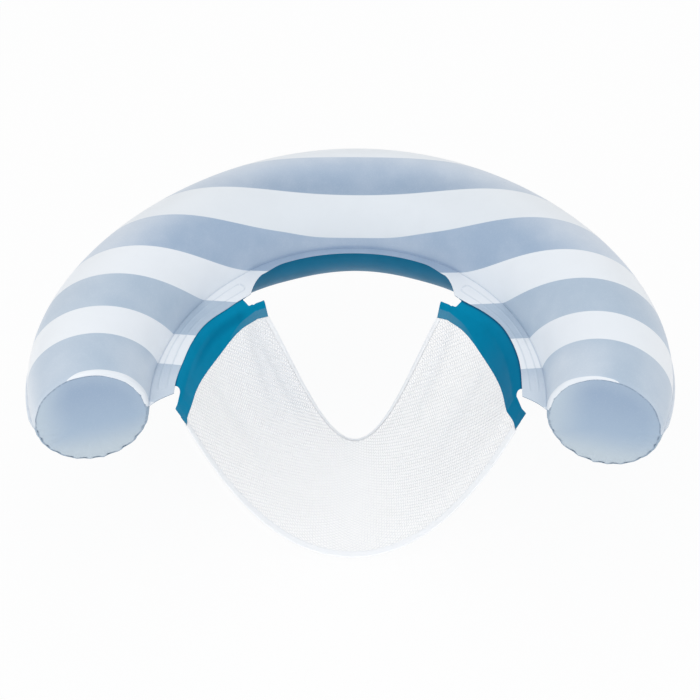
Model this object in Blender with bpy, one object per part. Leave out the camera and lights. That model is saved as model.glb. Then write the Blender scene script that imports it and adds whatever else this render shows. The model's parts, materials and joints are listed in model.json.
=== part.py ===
"""Inflatable pool chair: a horseshoe air ring with a mesh seat slung between its arms.

Metres, +Z up. The origin lies on the ring's seam plane, on the mirror plane, halfway between the back of
the ring's centreline and the arms' ends. +Y is the backrest side, and the arms reach towards -Y.
"""

import math

import bmesh
import bpy
import numpy as np
from mathutils import Matrix, Vector

# Plan of the ring's centreline, right half
BACK_REACH = 0.2725
FRONT_REACH = 0.2725
FLANK_SPREAD = 0.3967
FLANK_REACH = 0.1032
END_SPREAD = 0.3831
BACK_PULL = 0.6505
SIDE_PULL = 0.5592
FRONT_PULL = 0.1436
END_PULL = 0.2038
FLARE = math.radians(8.15)
TOE_IN = math.radians(17.2)

# Radius of the inflated tube, mid-wall, from the back to the arms' ends
BACK_RADIUS = 0.1118
SHOULDER_RADIUS = 0.1063
ARM_RADIUS = 0.1007
CUFF_RADIUS = 0.0860
SHOULDER_SHARE = 0.4
ARM_SHARE = 0.8

# Welded sheets
SHEET = 0.0004
WELD_GAP = 0.0003
SEAM_FIN = 0.004
CUFF_LAP = 0.0115
CAP_BULGE = 0.010
BULKHEAD_LAP = 0.012

# Inner flange of the ring, which widens into the two webs that carry the seat
BACK_FLANGE = 0.0150
NECK_FLANGE = 0.0225
WEB_CORNER = 0.0515
WEB_WAIST = 0.032
WEB_FRONT = 0.0375
CUFF_FLANGE = 0.003
FLANGE_END_SHARE = 0.25
NECK_SHARE = 0.34
WEB_CORNER_SHARE = 0.434
WEB_WAIST_SHARE = 0.66
WEB_FRONT_SHARE = 0.965
NECK_HOLLOW = 1.25
FRONT_HOLLOW = 1.6

# Seat strips, the bands that hang from the webs and hold the mesh
STRIP_SHEET = 0.0005
STRIP_START_SHARE = 0.415
STRIP_WIDTH = 0.045
STRIP_BELLY = 0.015
BELLY_START_SHARE = 0.14
BELLY_TOP_SHARE = 0.40
BELLY_END_SHARE = 0.86
STRIP_WELD = 0.012
STRIP_BACK_SET = 0.010
STRIP_FRONT_SET = 0.0065
STRIP_OVERRUN = 0.014
STRIP_BEND = 0.020
STRIP_DROOP = math.radians(64)
EAR_DROOP = math.radians(78)
FRONT_EAR_SLOPE = math.radians(69)
STRIP_CORNER_SHARE = 0.4565
STRIP_FRONT_STEP = 0.027
BACK_NOTCH_REACH = 0.0120
BACK_NOTCH_DEPTH = 0.0166
BACK_EAR_CUT = 0.0140
FRONT_NOTCH_REACH = 0.0250
FRONT_NOTCH_DEPTH = 0.0095
FRONT_EAR_CUT = 0.0065
MESH_LAP = 0.012
BACKING_WIDTH = 0.016

# Mesh seat
MESH_THICKNESS = 0.0008
SEAT_BACK_DROP = 0.309
SEAT_FRONT_DROP = 0.3345
SEAT_BACK_SETBACK = 0.016
SEAT_FRONT_SETBACK = 0.004
SEAT_BELLY = 0.004
BACK_FULLNESS_SHARE = 0.4
FRONT_FULLNESS_SHARE = -0.2
FOLD_DEPTH = 0.0025
FOLD_COUNT = 3
FOLD_LOW_SHARE = 0.45
RIB_SPREAD = 0.75
HEM_RUN = 0.011
HEM_COVER_SHARE = 0.95
HEM_SHEET = 0.0005
HEM_END_GAP = 0.001

# Air valves, one for each chamber
VALVE_ALONG = 0.17
VALVE_FLANGE_RADIUS = 0.0125
VALVE_FLANGE_SHEET = 0.0008
VALVE_COLLAR = 0.0018
VALVE_COLLAR_HEIGHT = 0.0009
STEM_RADIUS = 0.0046
STEM_BORE = 0.003
STEM_LENGTH = 0.0140
STEM_LIP_RADIUS = 0.0064
STEM_LIP = 0.0012
STEM_RING = 0.0012
STEM_RING_RADIUS = 0.0062
STEM_CLEARANCE = 0.0003
CUT_OVERRUN = 0.004
PLUG_THICKNESS = 0.0012
PIN_LENGTH = 0.004
PIN_CLEARANCE = 0.0002
PIN_TIP_RADIUS = 0.0018
STRAP_REACH = 0.0018
STRAP_WIDTH = 0.004
FLAP_THICKNESS = 0.0005
FLAP_COVER = 0.0012
FLAP_TAB_REACH = 0.0017

# Counts and smoothness
PLAN_STEPS = 400
RING_STATIONS = 53
ARC_SEGMENTS = 10
WEB_SEGMENTS = 2
CAP_RINGS = 4
BEND_SEGMENTS = 3
NOTCH_STEPS = 9
MESH_RIBS = 15
MESH_SEGMENTS = 28
TURNED_SEGMENTS = 20
SMOOTH_ANGLE = math.radians(40)

VALVE_ARC_SEGMENT = 1

UP = np.array([0.0, 0.0, 1.0])
FLAT = np.array([1.0, 1.0, 0.0])

SEAM_HEIGHT = (WELD_GAP + SHEET) / 2
STRIP_HEIGHT = -(WELD_GAP / 2 + SHEET + WELD_GAP + STRIP_SHEET / 2)
MESH_DROP = STRIP_SHEET / 2 + WELD_GAP + MESH_THICKNESS / 2
BACKING_DROP = MESH_DROP + MESH_THICKNESS / 2 + WELD_GAP + STRIP_SHEET / 2
HEM_OFFSET = MESH_THICKNESS / 2 + WELD_GAP + HEM_SHEET / 2
HEM_EDGE = WELD_GAP + HEM_SHEET / 2

STRIPED_VINYL = ("striped_vinyl", (0.60, 0.67, 0.76), 0.42)
TEAL_VINYL = ("teal_vinyl", (0.02, 0.16, 0.26), 0.40)
CAP_VINYL = ("cap_vinyl", (0.36, 0.47, 0.60), 0.45)
CLEAR_VINYL = ("clear_vinyl", (0.80, 0.83, 0.86), 0.35)
WHITE_MESH = ("white_mesh", (0.82, 0.84, 0.87), 0.80)


def unit(vector):
    """The vector at length one."""
    return vector / np.linalg.norm(vector)


def ease(share):
    """A smooth step from 0 to 1, level at both ends."""
    share = min(max(share, 0.0), 1.0)
    return share * share * (3 - 2 * share)


def hermite(start, start_pull, end, end_pull, steps):
    """Points of the cubic that leaves start along start_pull and reaches end along end_pull."""
    t = np.linspace(0, 1, steps)[:, None]
    return (
        (2 * t**3 - 3 * t**2 + 1) * start
        + (t**3 - 2 * t**2 + t) * start_pull
        + (3 * t**2 - 2 * t**3) * end
        + (t**3 - t**2) * end_pull
    )


class Ring:
    """The horseshoe tube, measured along its centreline: 0 at the back, positive to the right arm."""

    def __init__(self):
        back = np.array([0.0, BACK_REACH])
        flank = np.array([FLANK_SPREAD, -FLANK_REACH])
        end = np.array([END_SPREAD, -FRONT_REACH])
        flare = np.array([math.sin(FLARE), -math.cos(FLARE)])
        toe = np.array([-math.sin(TOE_IN), -math.cos(TOE_IN)])
        side = hermite(
            back, np.array([BACK_PULL, 0]), flank, flare * SIDE_PULL, PLAN_STEPS
        )
        front = hermite(flank, flare * FRONT_PULL, end, toe * END_PULL, PLAN_STEPS // 4)
        self.points = np.vstack([side, front[1:]])
        steps = np.linalg.norm(np.diff(self.points, axis=0), axis=1)
        self.lengths = np.concatenate([[0], np.cumsum(steps)])
        self.arm = self.lengths[-1]
        self.tangents = np.gradient(self.points, self.lengths, axis=0)
        self.tangents[0] = [1, 0]
        self.curve = self.radius_curve()
        self.stations = self.station_places()

    def radius_curve(self):
        """The even start and the three coefficients that carry the radius through its named sizes."""
        places = np.array([SHOULDER_SHARE, ARM_SHARE, 1]) * self.arm
        powers = np.stack([places**2, places**3, places**4], axis=1)
        rises = np.array([SHOULDER_RADIUS, ARM_RADIUS, CUFF_RADIUS]) - BACK_RADIUS
        return np.linalg.solve(powers, rises)

    def station_places(self):
        """Where the ring's sheets are sectioned: evenly, with two more at each end for the cuff."""
        reach = WEB_FRONT_SHARE * self.arm
        even = np.linspace(-reach, reach, RING_STATIONS)
        cuff = self.arm - CUFF_LAP
        return np.concatenate([[-self.arm, -cuff], even, [cuff, self.arm]])

    def radius(self, along):
        """Radius of the tube's mid-wall."""
        s = abs(along)
        return BACK_RADIUS + self.curve @ np.array([s**2, s**3, s**4])

    def frame(self, along):
        """Centre, outward normal and forward direction of the tube at a place along it."""
        s = min(abs(along), self.arm)
        side = -1.0 if along < 0 else 1.0
        x, y = (np.interp(s, self.lengths, self.points[:, k]) for k in (0, 1))
        tx, ty = (np.interp(s, self.lengths, self.tangents[:, k]) for k in (0, 1))
        tangent = unit(np.array([side * tx, ty, 0]))
        outward = np.array([-side * tangent[1], side * tangent[0], 0])
        return np.array([side * x, y, 0]), outward, tangent

    def place(self, along, out, up):
        """A point beside the centreline: out from it, away from the seat, and up."""
        centre, outward, _ = self.frame(along)
        return centre + outward * out + UP * up

    def wall(self, along, angle, inset):
        """A point inset from the faceted mid-wall, whose flat panels run from station to station."""
        k = int(np.clip(np.searchsorted(self.stations, along) - 1, 0, len(self.stations) - 2))
        first, last = self.stations[k], self.stations[k + 1]
        share = (along - first) / (last - first)
        ends = []
        for station in (first, last):
            reach = self.radius(station) - inset
            ends.append(self.place(station, reach * math.cos(angle), reach * math.sin(angle)))
        return ends[0] * (1 - share) + ends[1] * share

    def web(self, along):
        """Width of the flat inner flange, which swells into the web beside the seat."""
        share = abs(along) / self.arm
        keys = (
            (FLANGE_END_SHARE, BACK_FLANGE),
            (NECK_SHARE, NECK_FLANGE),
            (WEB_CORNER_SHARE, WEB_CORNER),
            (WEB_WAIST_SHARE, WEB_WAIST),
            (WEB_FRONT_SHARE, WEB_FRONT),
        )
        if share <= FLANGE_END_SHARE:
            return BACK_FLANGE
        for (start, width), (end, next_width) in zip(keys, keys[1:]):
            if share <= end:
                rise = (share - start) / (end - start)
                rise = rise**NECK_HOLLOW if end == WEB_CORNER_SHARE else ease(rise)
                return width + (next_width - width) * rise
        left = (1 - share) / (1 - WEB_FRONT_SHARE)
        return CUFF_FLANGE + (WEB_FRONT - CUFF_FLANGE) * max(left, 0.0) ** FRONT_HOLLOW


def make_material(finish):
    """A plain surface of one colour and roughness."""
    name, colour, roughness = finish
    found = bpy.data.materials.get(name)
    if found:
        return found
    made = bpy.data.materials.new(name)
    made.use_nodes = True
    shader = made.node_tree.nodes["Principled BSDF"]
    shader.inputs["Base Color"].default_value = (*colour, 1.0)
    shader.inputs["Roughness"].default_value = roughness
    shader.inputs["Metallic"].default_value = 0.0
    return made


def add_object(name, mesh, finish, pose=None):
    """A named object with its finish, shaded smooth over its gentle edges."""
    made = bpy.data.objects.new(name, mesh)
    bpy.context.scene.collection.objects.link(made)
    mesh.materials.append(make_material(finish))
    mesh.shade_smooth()
    mesh.set_sharp_from_angle(angle=SMOOTH_ANGLE)
    if pose is not None:
        made.matrix_world = pose
    return made


def grid_mesh(name, rows, closed=False, pole=None, mirror_from=None):
    """A sheet through rows of points, with its rows closed into rings where asked.

    Each panel is split along one diagonal, so sheets that lie on each other stay apart where they
    twist. From the column mirror_from on the other diagonal is used, as in a mirror image.
    """
    build = bmesh.new()
    made = [[build.verts.new(point) for point in row] for row in rows]
    width = len(rows[0])
    spans = width if closed else width - 1
    for row, following in zip(made, made[1:]):
        for k in range(spans):
            after = (k + 1) % width
            corners = [row[k], row[after], following[after], following[k]]
            if mirror_from is not None and k >= mirror_from:
                corners = corners[1:] + corners[:1]
            build.faces.new((corners[0], corners[1], corners[2]))
            build.faces.new((corners[0], corners[2], corners[3]))
    if pole is not None:
        tip = build.verts.new(pole)
        for k in range(width):
            build.faces.new((tip, made[0][(k + 1) % width], made[0][k]))
    bmesh.ops.recalc_face_normals(build, faces=build.faces)
    mesh = bpy.data.meshes.new(name)
    build.to_mesh(mesh)
    build.free()
    return mesh


def thicken(made, thickness):
    """Gives a sheet its thickness, half to each side."""
    solid = made.modifiers.new("Thickness", "SOLIDIFY")
    solid.thickness = thickness
    solid.offset = 0
    solid.use_even_offset = True
    solid.use_rim = True
    return made


def cut(made, cutter):
    """Takes a hidden cutter's shape out of an object."""
    cutter.hide_render = True
    cutter.display_type = "WIRE"
    hole = made.modifiers.new("Cut", "BOOLEAN")
    hole.operation = "DIFFERENCE"
    hole.solver = "EXACT"
    hole.object = cutter


def turned_mesh(name, profile, hollow):
    """A turned piece about +Z: a closed loop of (radius, height), or an axis-to-axis line of them."""
    rows = []
    for k in range(TURNED_SEGMENTS):
        angle = 2 * math.pi * k / TURNED_SEGMENTS
        rows.append([(r * math.cos(angle), r * math.sin(angle), z) for r, z in profile])
    build = bmesh.new()
    if hollow:
        made = [[build.verts.new(point) for point in row] for row in rows]
        spans = len(profile)
    else:
        top, foot = build.verts.new(rows[0][0]), build.verts.new(rows[0][-1])
        made = [
            [top, *(build.verts.new(point) for point in row[1:-1]), foot] for row in rows
        ]
        spans = len(profile) - 1
    for row, following in zip(made, made[1:] + made[:1]):
        for k in range(spans):
            after = (k + 1) % len(profile)
            corners = (row[k], row[after], following[after], following[k])
            build.faces.new(tuple(dict.fromkeys(corners)))
    bmesh.ops.recalc_face_normals(build, faces=build.faces)
    mesh = bpy.data.meshes.new(name)
    build.to_mesh(mesh)
    build.free()
    return mesh


def add_block(build, low, high):
    """Adds a box between two corners to a mesh being built."""
    size = Vector(high) - Vector(low)
    middle = (Vector(high) + Vector(low)) / 2
    pose = Matrix.Translation(middle) @ Matrix.Diagonal((*size, 1.0))
    bmesh.ops.create_cube(build, size=1, matrix=pose)


def join_block(made, low, high, pose):
    """Joins a box between two corners, in the object's own frame, to the object."""
    build = bmesh.new()
    add_block(build, low, high)
    mesh = bpy.data.meshes.new(f"{made.name}_tab")
    build.to_mesh(mesh)
    build.free()
    tab = bpy.data.objects.new(f"{made.name}_tab", mesh)
    bpy.context.scene.collection.objects.link(tab)
    tab.matrix_world = pose
    tab.hide_render = True
    tab.display_type = "WIRE"
    union = made.modifiers.new("Tab", "BOOLEAN")
    union.operation = "UNION"
    union.solver = "EXACT"
    union.object = tab


def skin_row(ring, along, side):
    """One section of a skin's mid-surface, from the outer seam fin to the web's free edge."""
    radius = ring.radius(along)
    height = side * SEAM_HEIGHT
    row = [ring.place(along, radius + SEAM_FIN, height), ring.place(along, radius, height)]
    for k in range(1, ARC_SEGMENTS):
        angle = math.pi * k / ARC_SEGMENTS
        row.append(
            ring.place(along, radius * math.cos(angle), side * radius * math.sin(angle))
        )
    for k in range(WEB_SEGMENTS + 1):
        reach = radius + ring.web(along) * k / WEB_SEGMENTS
        row.append(ring.place(along, -reach, height))
    return row


def make_skin(ring, name, side, half, finish):
    """One half of the upper or lower sheet: half the tube, the seam fin, the flange and a web."""
    places = [half * WELD_GAP / 2, *(along for along in ring.stations if along * half > 0)]
    rows = [skin_row(ring, along, side) for along in sorted(places)]
    return thicken(add_object(name, grid_mesh(name, rows), finish), SHEET)


def disc_rows(ring, places, insets):
    """Rings of points inside the tube, at places along it and insets from its mid-wall."""
    rows = []
    for along, inset in zip(places, insets):
        angles = [math.pi * k / ARC_SEGMENTS for k in range(2 * ARC_SEGMENTS)]
        rows.append([ring.wall(along, angle, inset) for angle in angles])
    return rows


def make_end_cap(ring, name, side):
    """The domed disc that closes an arm, with its rim lapped inside the two skins."""
    inset = SHEET + WELD_GAP
    centre, _, forward = ring.frame(side * ring.arm)
    edge = ring.radius(ring.arm) - inset
    rows = []
    for k in range(1, CAP_RINGS + 1):
        share = k / CAP_RINGS
        bulge = forward * CAP_BULGE * (1 - share**2)
        outer = disc_rows(ring, [side * ring.arm], [inset])[0]
        rows.append([centre + (point - centre) * share + bulge for point in outer])
    rows.append(disc_rows(ring, [side * (ring.arm - CUFF_LAP)], [inset])[0])
    pole = centre + forward * CAP_BULGE
    mesh = grid_mesh(name, rows, closed=True, pole=pole)
    return thicken(add_object(name, mesh, CAP_VINYL), SHEET)


def make_bulkhead(ring):
    """The inner disc that parts the ring into two air chambers."""
    inset = SHEET + WELD_GAP
    centre, _, _ = ring.frame(0)
    outer = disc_rows(ring, [0], [inset])[0]
    lap = disc_rows(ring, [BULKHEAD_LAP], [inset])[0]
    name = "chamber_bulkhead"
    mesh = grid_mesh(name, [outer, lap], closed=True, pole=centre)
    return thicken(add_object(name, mesh, CLEAR_VINYL), SHEET)


class SeatStrip:
    """The band that hangs from one web: where its layers run and how its outer edge is notched."""

    def __init__(self, ring, side):
        self.ring = ring
        self.side = side
        self.start = STRIP_START_SHARE * ring.arm
        self.end = ring.arm + STRIP_OVERRUN
        self.corner = STRIP_CORNER_SHARE * ring.arm
        self.front = WEB_FRONT_SHARE * ring.arm
        self.front_corner = self.front - STRIP_FRONT_STEP

    def top_edge(self, along):
        """How far inside the tube's weld the band leaves the web, drawn in beyond the web's corners."""
        if along < self.corner:
            share = (self.corner - along) / (self.corner - self.start)
            return self.ring.web(self.corner) + STRIP_BACK_SET * share**2 * (3 - share) / 2
        if along > self.front:
            share = (along - self.front) / (self.end - self.front)
            return self.ring.web(self.front) - STRIP_FRONT_SET * share
        return self.ring.web(along)

    def width(self, along):
        """Width of the band below the web: narrow at the ears and fuller between them."""
        share = (along - self.start) / (self.end - self.start)
        rise = ease((share - BELLY_START_SHARE) / (BELLY_TOP_SHARE - BELLY_START_SHARE))
        fall = ease((BELLY_END_SHARE - share) / (BELLY_END_SHARE - BELLY_TOP_SHARE))
        return STRIP_WIDTH + STRIP_BELLY * rise * fall

    def bent(self, along, across):
        """How far the band has come inwards and down, and its slope, where it bends off the web."""
        middle = (self.start + self.end) / 2
        share = abs(along - middle) / (self.end - middle)
        droop = STRIP_DROOP + (EAR_DROOP - STRIP_DROOP) * share**3
        bend = STRIP_BEND / droop
        slope = min(max(across, 0.0) / bend, droop)
        straight = max(across - STRIP_BEND, 0.0)
        inward = min(across, 0.0) + bend * math.sin(slope) + straight * math.cos(slope)
        down = bend * (1 - math.cos(slope)) + straight * math.sin(slope)
        return inward, down, slope

    def point(self, along, across, drop):
        """A point on the band: across it from the web's edge, and dropped below its mid-surface."""
        inward, down, slope = self.bent(along, across)
        flat = ease((along - self.front_corner) / (self.end - self.front_corner))
        if across > FRONT_EAR_CUT:
            edge_inward, edge_down, _ = self.bent(along, FRONT_EAR_CUT)
            run = across - FRONT_EAR_CUT
            inward += flat * (edge_inward + run * math.cos(FRONT_EAR_SLOPE) - inward)
            down += flat * (edge_down + run * math.sin(FRONT_EAR_SLOPE) - down)
            slope += flat * (FRONT_EAR_SLOPE - slope)
        inward -= drop * math.sin(slope)
        down += drop * math.cos(slope)
        out = self.ring.radius(along) + self.top_edge(along) + inward
        return self.extended(along, -out, STRIP_HEIGHT - down)

    def places(self):
        """Where the band's layers and the mesh are sectioned: at both hems and evenly between them."""
        first, last = self.start + HEM_RUN, self.end - HEM_RUN
        return [self.start, *np.linspace(first, last, MESH_RIBS), self.end]

    def rows(self, across, insets, drop):
        """The sections of one layer: through places from the web, then in from the lower edge."""
        rows = []
        for along in self.places():
            width = self.width(along)
            places = [*across, *(width - inset for inset in insets)]
            rows.append([self.point(along, place, drop) for place in places])
        return rows

    def notch_outline(self, corner, beyond):
        """Plan of the cut at one end: in at the web, round the notch and out along the ear."""
        turn = math.copysign(1, beyond - corner)
        far = beyond + turn * CUT_OVERRUN
        outer = -STRIP_WELD - CUT_OVERRUN
        spots = [(corner, outer), (corner, 0.0)]
        for k in range(1, NOTCH_STEPS + 1):
            if turn < 0:
                angle = math.pi * k / NOTCH_STEPS
                reach = BACK_NOTCH_REACH * math.sin(angle)
                depth = BACK_NOTCH_DEPTH * (1 - math.cos(angle)) / 2
                ear = BACK_EAR_CUT
            else:
                angle = math.pi * k / NOTCH_STEPS / 2
                reach = FRONT_NOTCH_REACH * (1 - math.cos(angle))
                depth = FRONT_NOTCH_DEPTH * math.sin(angle)
                ear = FRONT_EAR_CUT
            spots.append((corner + reach, depth))
        spots += [(beyond, ear), (far, ear)]
        plan = []
        for along, across in spots:
            edge = self.point(along, across, 0.0)
            plan.append(edge * FLAT)
        lift = self.point(far, outer, 0.0)
        plan.append(lift * FLAT)
        return plan

    def notch_mesh(self, name, corner, beyond):
        """An upright prism that takes a notch and the ear's outer side out of the band."""
        build = bmesh.new()
        foot = build.faces.new(
            [build.verts.new(spot - UP * STRIP_WIDTH) for spot in self.notch_outline(corner, beyond)]
        )
        raised = bmesh.ops.extrude_face_region(build, geom=[foot])["geom"]
        top = [item for item in raised if isinstance(item, bmesh.types.BMVert)]
        bmesh.ops.translate(build, verts=top, vec=(0, 0, 2 * STRIP_WIDTH))
        bmesh.ops.recalc_face_normals(build, faces=build.faces)
        mesh = bpy.data.meshes.new(name)
        build.to_mesh(mesh)
        build.free()
        return mesh

    def extended(self, along, out, up):
        """A point beside the centreline, which runs on straight past the arm's end."""
        past = max(along - self.ring.arm, 0)
        _, _, forward = self.ring.frame(self.side * self.ring.arm)
        return self.ring.place(self.side * along, out, up) + forward * past


def make_seat_strip(strip, name):
    """The upper band, welded under the web and notched where the web ends."""
    bend = [STRIP_BEND * k / BEND_SEGMENTS for k in range(BEND_SEGMENTS + 1)]
    rows = strip.rows([-STRIP_WELD, *bend], [BACKING_WIDTH, MESH_LAP, 0], 0)
    made = add_object(name, grid_mesh(name, rows), TEAL_VINYL)
    thicken(made, STRIP_SHEET)
    for word, corner, beyond in (
        ("back", strip.corner, strip.start),
        ("front", strip.front_corner, strip.end),
    ):
        notch = f"{name}_{word}_notch"
        cut(made, add_object(notch, strip.notch_mesh(notch, corner, beyond), TEAL_VINYL))
    return made


def make_strip_backing(strip, name):
    """The narrow band under the mesh's edge, which sandwiches it against the seat strip."""
    mesh = grid_mesh(name, strip.rows([], [BACKING_WIDTH, MESH_LAP, 0], BACKING_DROP))
    return thicken(add_object(name, mesh, TEAL_VINYL), STRIP_SHEET)


def rib_shares():
    """Shares across the seat from the left strip to the right one, closer together on the flanks."""
    even = np.linspace(-1, 1, MESH_SEGMENTS + 1)
    return np.sign(even) * np.abs(even) ** RIB_SPREAD


def fold_wave(index):
    """How far a rib of the seat sways, from -1 to 1: still at the two hems and waved between them."""
    share = min(max((index - 1) / (MESH_RIBS - 1), 0), 1)
    return math.sin(2 * math.pi * FOLD_COUNT * share)


def mesh_rows(ring):
    """The seat's mid-surface: one row of points for each rib, from the left strip's lap to the right's."""
    strips = [SeatStrip(ring, -1), SeatStrip(ring, 1)]
    places = strips[1].places()
    edges = [strips[1].point(along, strips[1].width(along), MESH_DROP) for along in places]
    back_y, front_y = edges[0][1], edges[-1][1]
    rows = []
    for index, (along, edge) in enumerate(zip(places, edges)):
        share = (edge[1] - back_y) / (front_y - back_y)
        drop = SEAT_BACK_DROP + (SEAT_FRONT_DROP - SEAT_BACK_DROP) * share
        drop += SEAT_BELLY * math.sin(math.pi * share)
        setback = SEAT_BACK_SETBACK + (SEAT_FRONT_SETBACK - SEAT_BACK_SETBACK) * share
        full = BACK_FULLNESS_SHARE + (FRONT_FULLNESS_SHARE - BACK_FULLNESS_SHARE) * share
        fold = FOLD_DEPTH * fold_wave(index)
        lap = strips[0].width(along) - MESH_LAP
        row = [strips[0].point(along, lap, MESH_DROP)]
        for q in rib_shares():
            rise = q**2 * (1 + full * (1 - q**2))
            flank = max(abs(q) - FOLD_LOW_SHARE, 0) / (1 - FOLD_LOW_SHARE)
            sway = np.sign(q) * fold * math.sin(math.pi * flank) ** 2
            x = edge[0] * q + sway
            y = edge[1] - setback * (1 - q**2)
            row.append(np.array([x, y, -drop + (edge[2] + drop) * rise]))
        row.append(strips[1].point(along, lap, MESH_DROP))
        rows.append(row)
    return rows


def make_mesh_seat(rows):
    """The fabric sling, its long edges lapped between the strips and their backings."""
    name = "mesh_seat"
    mesh = grid_mesh(name, rows, mirror_from=len(rows[0]) // 2)
    return thicken(add_object(name, mesh, WHITE_MESH), MESH_THICKNESS)


def make_hem(edge, inner, name):
    """A folded tape round a free edge of the mesh, between the two strips."""
    edge = list(edge)
    inner = list(inner)
    for end, following in ((0, 1), (-1, -2)):
        step = edge[following] - edge[end]
        trim = HEM_END_GAP / np.linalg.norm(step)
        edge[end] = edge[end] + step * trim
        inner[end] = inner[end] + (inner[following] - inner[end]) * trim
    rows = []
    for k, (here, beside) in enumerate(zip(edge, inner)):
        before, after = edge[max(k - 1, 0)], edge[min(k + 1, len(edge) - 1)]
        into = beside - here
        leg = here + into * HEM_COVER_SHARE
        fold = here - unit(into) * HEM_EDGE
        normal = unit(np.cross(after - before, into)) * HEM_OFFSET
        rows.append([leg + normal, fold + normal, fold - normal, leg - normal])
    return thicken(add_object(name, grid_mesh(name, rows), WHITE_MESH), HEM_SHEET)


def valve_pose(ring, side):
    """The frame of a valve: origin on the skin's outer face, +Z out of it, +X up the tube's side."""
    middles = (ring.stations[1:] + ring.stations[:-1]) / 2
    k = int(np.argmin(np.abs(middles - side * VALVE_ALONG)))
    corners = []
    for along in (ring.stations[k], ring.stations[k + 1]):
        for step in (VALVE_ARC_SEGMENT, VALVE_ARC_SEGMENT + 1):
            corners.append(ring.wall(along, math.pi * step / ARC_SEGMENTS, 0))
    low_a, high_a, low_b, high_b = corners
    up = unit((high_a - low_a) + (high_b - low_b))
    run = (low_b - low_a) + (high_b - high_a)
    out = unit(np.cross(run, up))
    middle = sum(corners) / len(corners)
    centre, _, _ = ring.frame(middles[k])
    if out @ (middle - centre) < 0:
        out = -out
    along_ring = np.cross(out, up)
    origin = middle + out * SHEET / 2
    pose = Matrix.Identity(4)
    for column, axis in enumerate((up, along_ring, out, origin)):
        pose.col[column][:3] = axis
    return pose


def shifted(pose, x, z):
    """A valve's frame moved along its own +X and +Z."""
    return pose @ Matrix.Translation((x, 0, z))


def make_valve(ring, side, skin):
    """One air valve: flange on the skin, sliding stem, hinged plug and one-way flap."""
    word = "right" if side > 0 else "left"
    pose = valve_pose(ring, side)
    hole = STEM_RADIUS + STEM_CLEARANCE
    foot = WELD_GAP
    flat = foot + VALVE_FLANGE_SHEET
    collar = flat + VALVE_COLLAR_HEIGHT
    profile = [
        (hole, foot),
        (VALVE_FLANGE_RADIUS, foot),
        (VALVE_FLANGE_RADIUS, flat),
        (hole + VALVE_COLLAR, flat),
        (hole + VALVE_COLLAR, collar),
        (hole, collar),
    ]
    name = f"{word}_valve_flange"
    add_object(name, turned_mesh(name, profile, True), CLEAR_VINYL, pose)

    lip = collar + WELD_GAP
    lip_top = lip + STEM_LIP
    ring_top = -STEM_LENGTH
    ring_foot = ring_top - STEM_RING
    profile = [
        (STEM_BORE, ring_foot),
        (STEM_RING_RADIUS, ring_foot),
        (STEM_RING_RADIUS, ring_top),
        (STEM_RADIUS, ring_top),
        (STEM_RADIUS, lip),
        (STEM_LIP_RADIUS, lip),
        (STEM_LIP_RADIUS, lip_top),
        (STEM_BORE, lip_top),
    ]
    name = f"{word}_valve_stem"
    stem = add_object(name, turned_mesh(name, profile, True), CLEAR_VINYL, pose)
    hinge_x = STEM_LIP_RADIUS + STRAP_REACH
    half = STRAP_WIDTH / 2
    root = (STEM_LIP_RADIUS + STEM_RADIUS) / 2
    join_block(stem, (root, -half, lip), (hinge_x, half, lip_top), pose)

    hinge_z = lip_top + WELD_GAP / 2
    disc = WELD_GAP / 2
    disc_top = disc + PLUG_THICKNESS
    pin = STEM_BORE - PIN_CLEARANCE
    profile = [
        (0.0, disc_top),
        (STEM_LIP_RADIUS, disc_top),
        (STEM_LIP_RADIUS, disc),
        (pin, disc),
        (PIN_TIP_RADIUS, disc - PIN_LENGTH),
        (0.0, disc - PIN_LENGTH),
    ]
    name = f"{word}_valve_plug"
    mesh = turned_mesh(name, profile, False)
    mesh.transform(Matrix.Translation((-hinge_x, 0, 0)))
    hinge = shifted(pose, hinge_x, hinge_z)
    plug = add_object(name, mesh, CLEAR_VINYL, hinge)
    join_block(plug, (root - hinge_x, -half, disc), (0, half, disc_top), hinge)

    cover = STEM_BORE + FLAP_COVER
    flap_x = cover + FLAP_TAB_REACH
    low = -WELD_GAP / 2 - FLAP_THICKNESS
    profile = [(0.0, -WELD_GAP / 2), (cover, -WELD_GAP / 2), (cover, low), (0.0, low)]
    name = f"{word}_valve_flap"
    mesh = turned_mesh(name, profile, False)
    mesh.transform(Matrix.Translation((-flap_x, 0, 0)))
    hinge = shifted(pose, flap_x, ring_foot - WELD_GAP / 2)
    flap = add_object(name, mesh, CLEAR_VINYL, hinge)
    inner = STEM_BORE - flap_x
    join_block(flap, (inner, -half, low), (0, half, -WELD_GAP / 2), hinge)

    bore = hole + STEM_CLEARANCE
    ends = [(0.0, STEM_LENGTH / 2), (bore, STEM_LENGTH / 2), (bore, -STEM_LENGTH / 2)]
    profile = [*ends, (0.0, -STEM_LENGTH / 2)]
    name = f"{word}_valve_hole"
    cut(skin, add_object(name, turned_mesh(name, profile, False), CLEAR_VINYL, pose))


def main():
    """Clears the scene and makes every piece of the chair."""
    for old in list(bpy.data.objects):
        bpy.data.objects.remove(old, do_unlink=True)
    ring = Ring()
    make_bulkhead(ring)
    for word, side in (("left", -1), ("right", 1)):
        top = make_skin(ring, f"{word}_top_skin", 1, side, STRIPED_VINYL)
        make_skin(ring, f"{word}_bottom_skin", -1, side, TEAL_VINYL)
        make_end_cap(ring, f"{word}_end_cap", side)
        strip = SeatStrip(ring, side)
        make_seat_strip(strip, f"{word}_seat_strip")
        make_strip_backing(strip, f"{word}_strip_backing")
        make_valve(ring, side, top)
    rows = mesh_rows(ring)
    make_mesh_seat(rows)
    hemmed = slice(1, -1)
    make_hem(rows[0][hemmed], rows[1][hemmed], "back_hem")
    make_hem(rows[-1][hemmed], rows[-2][hemmed], "front_hem")


main()
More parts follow.
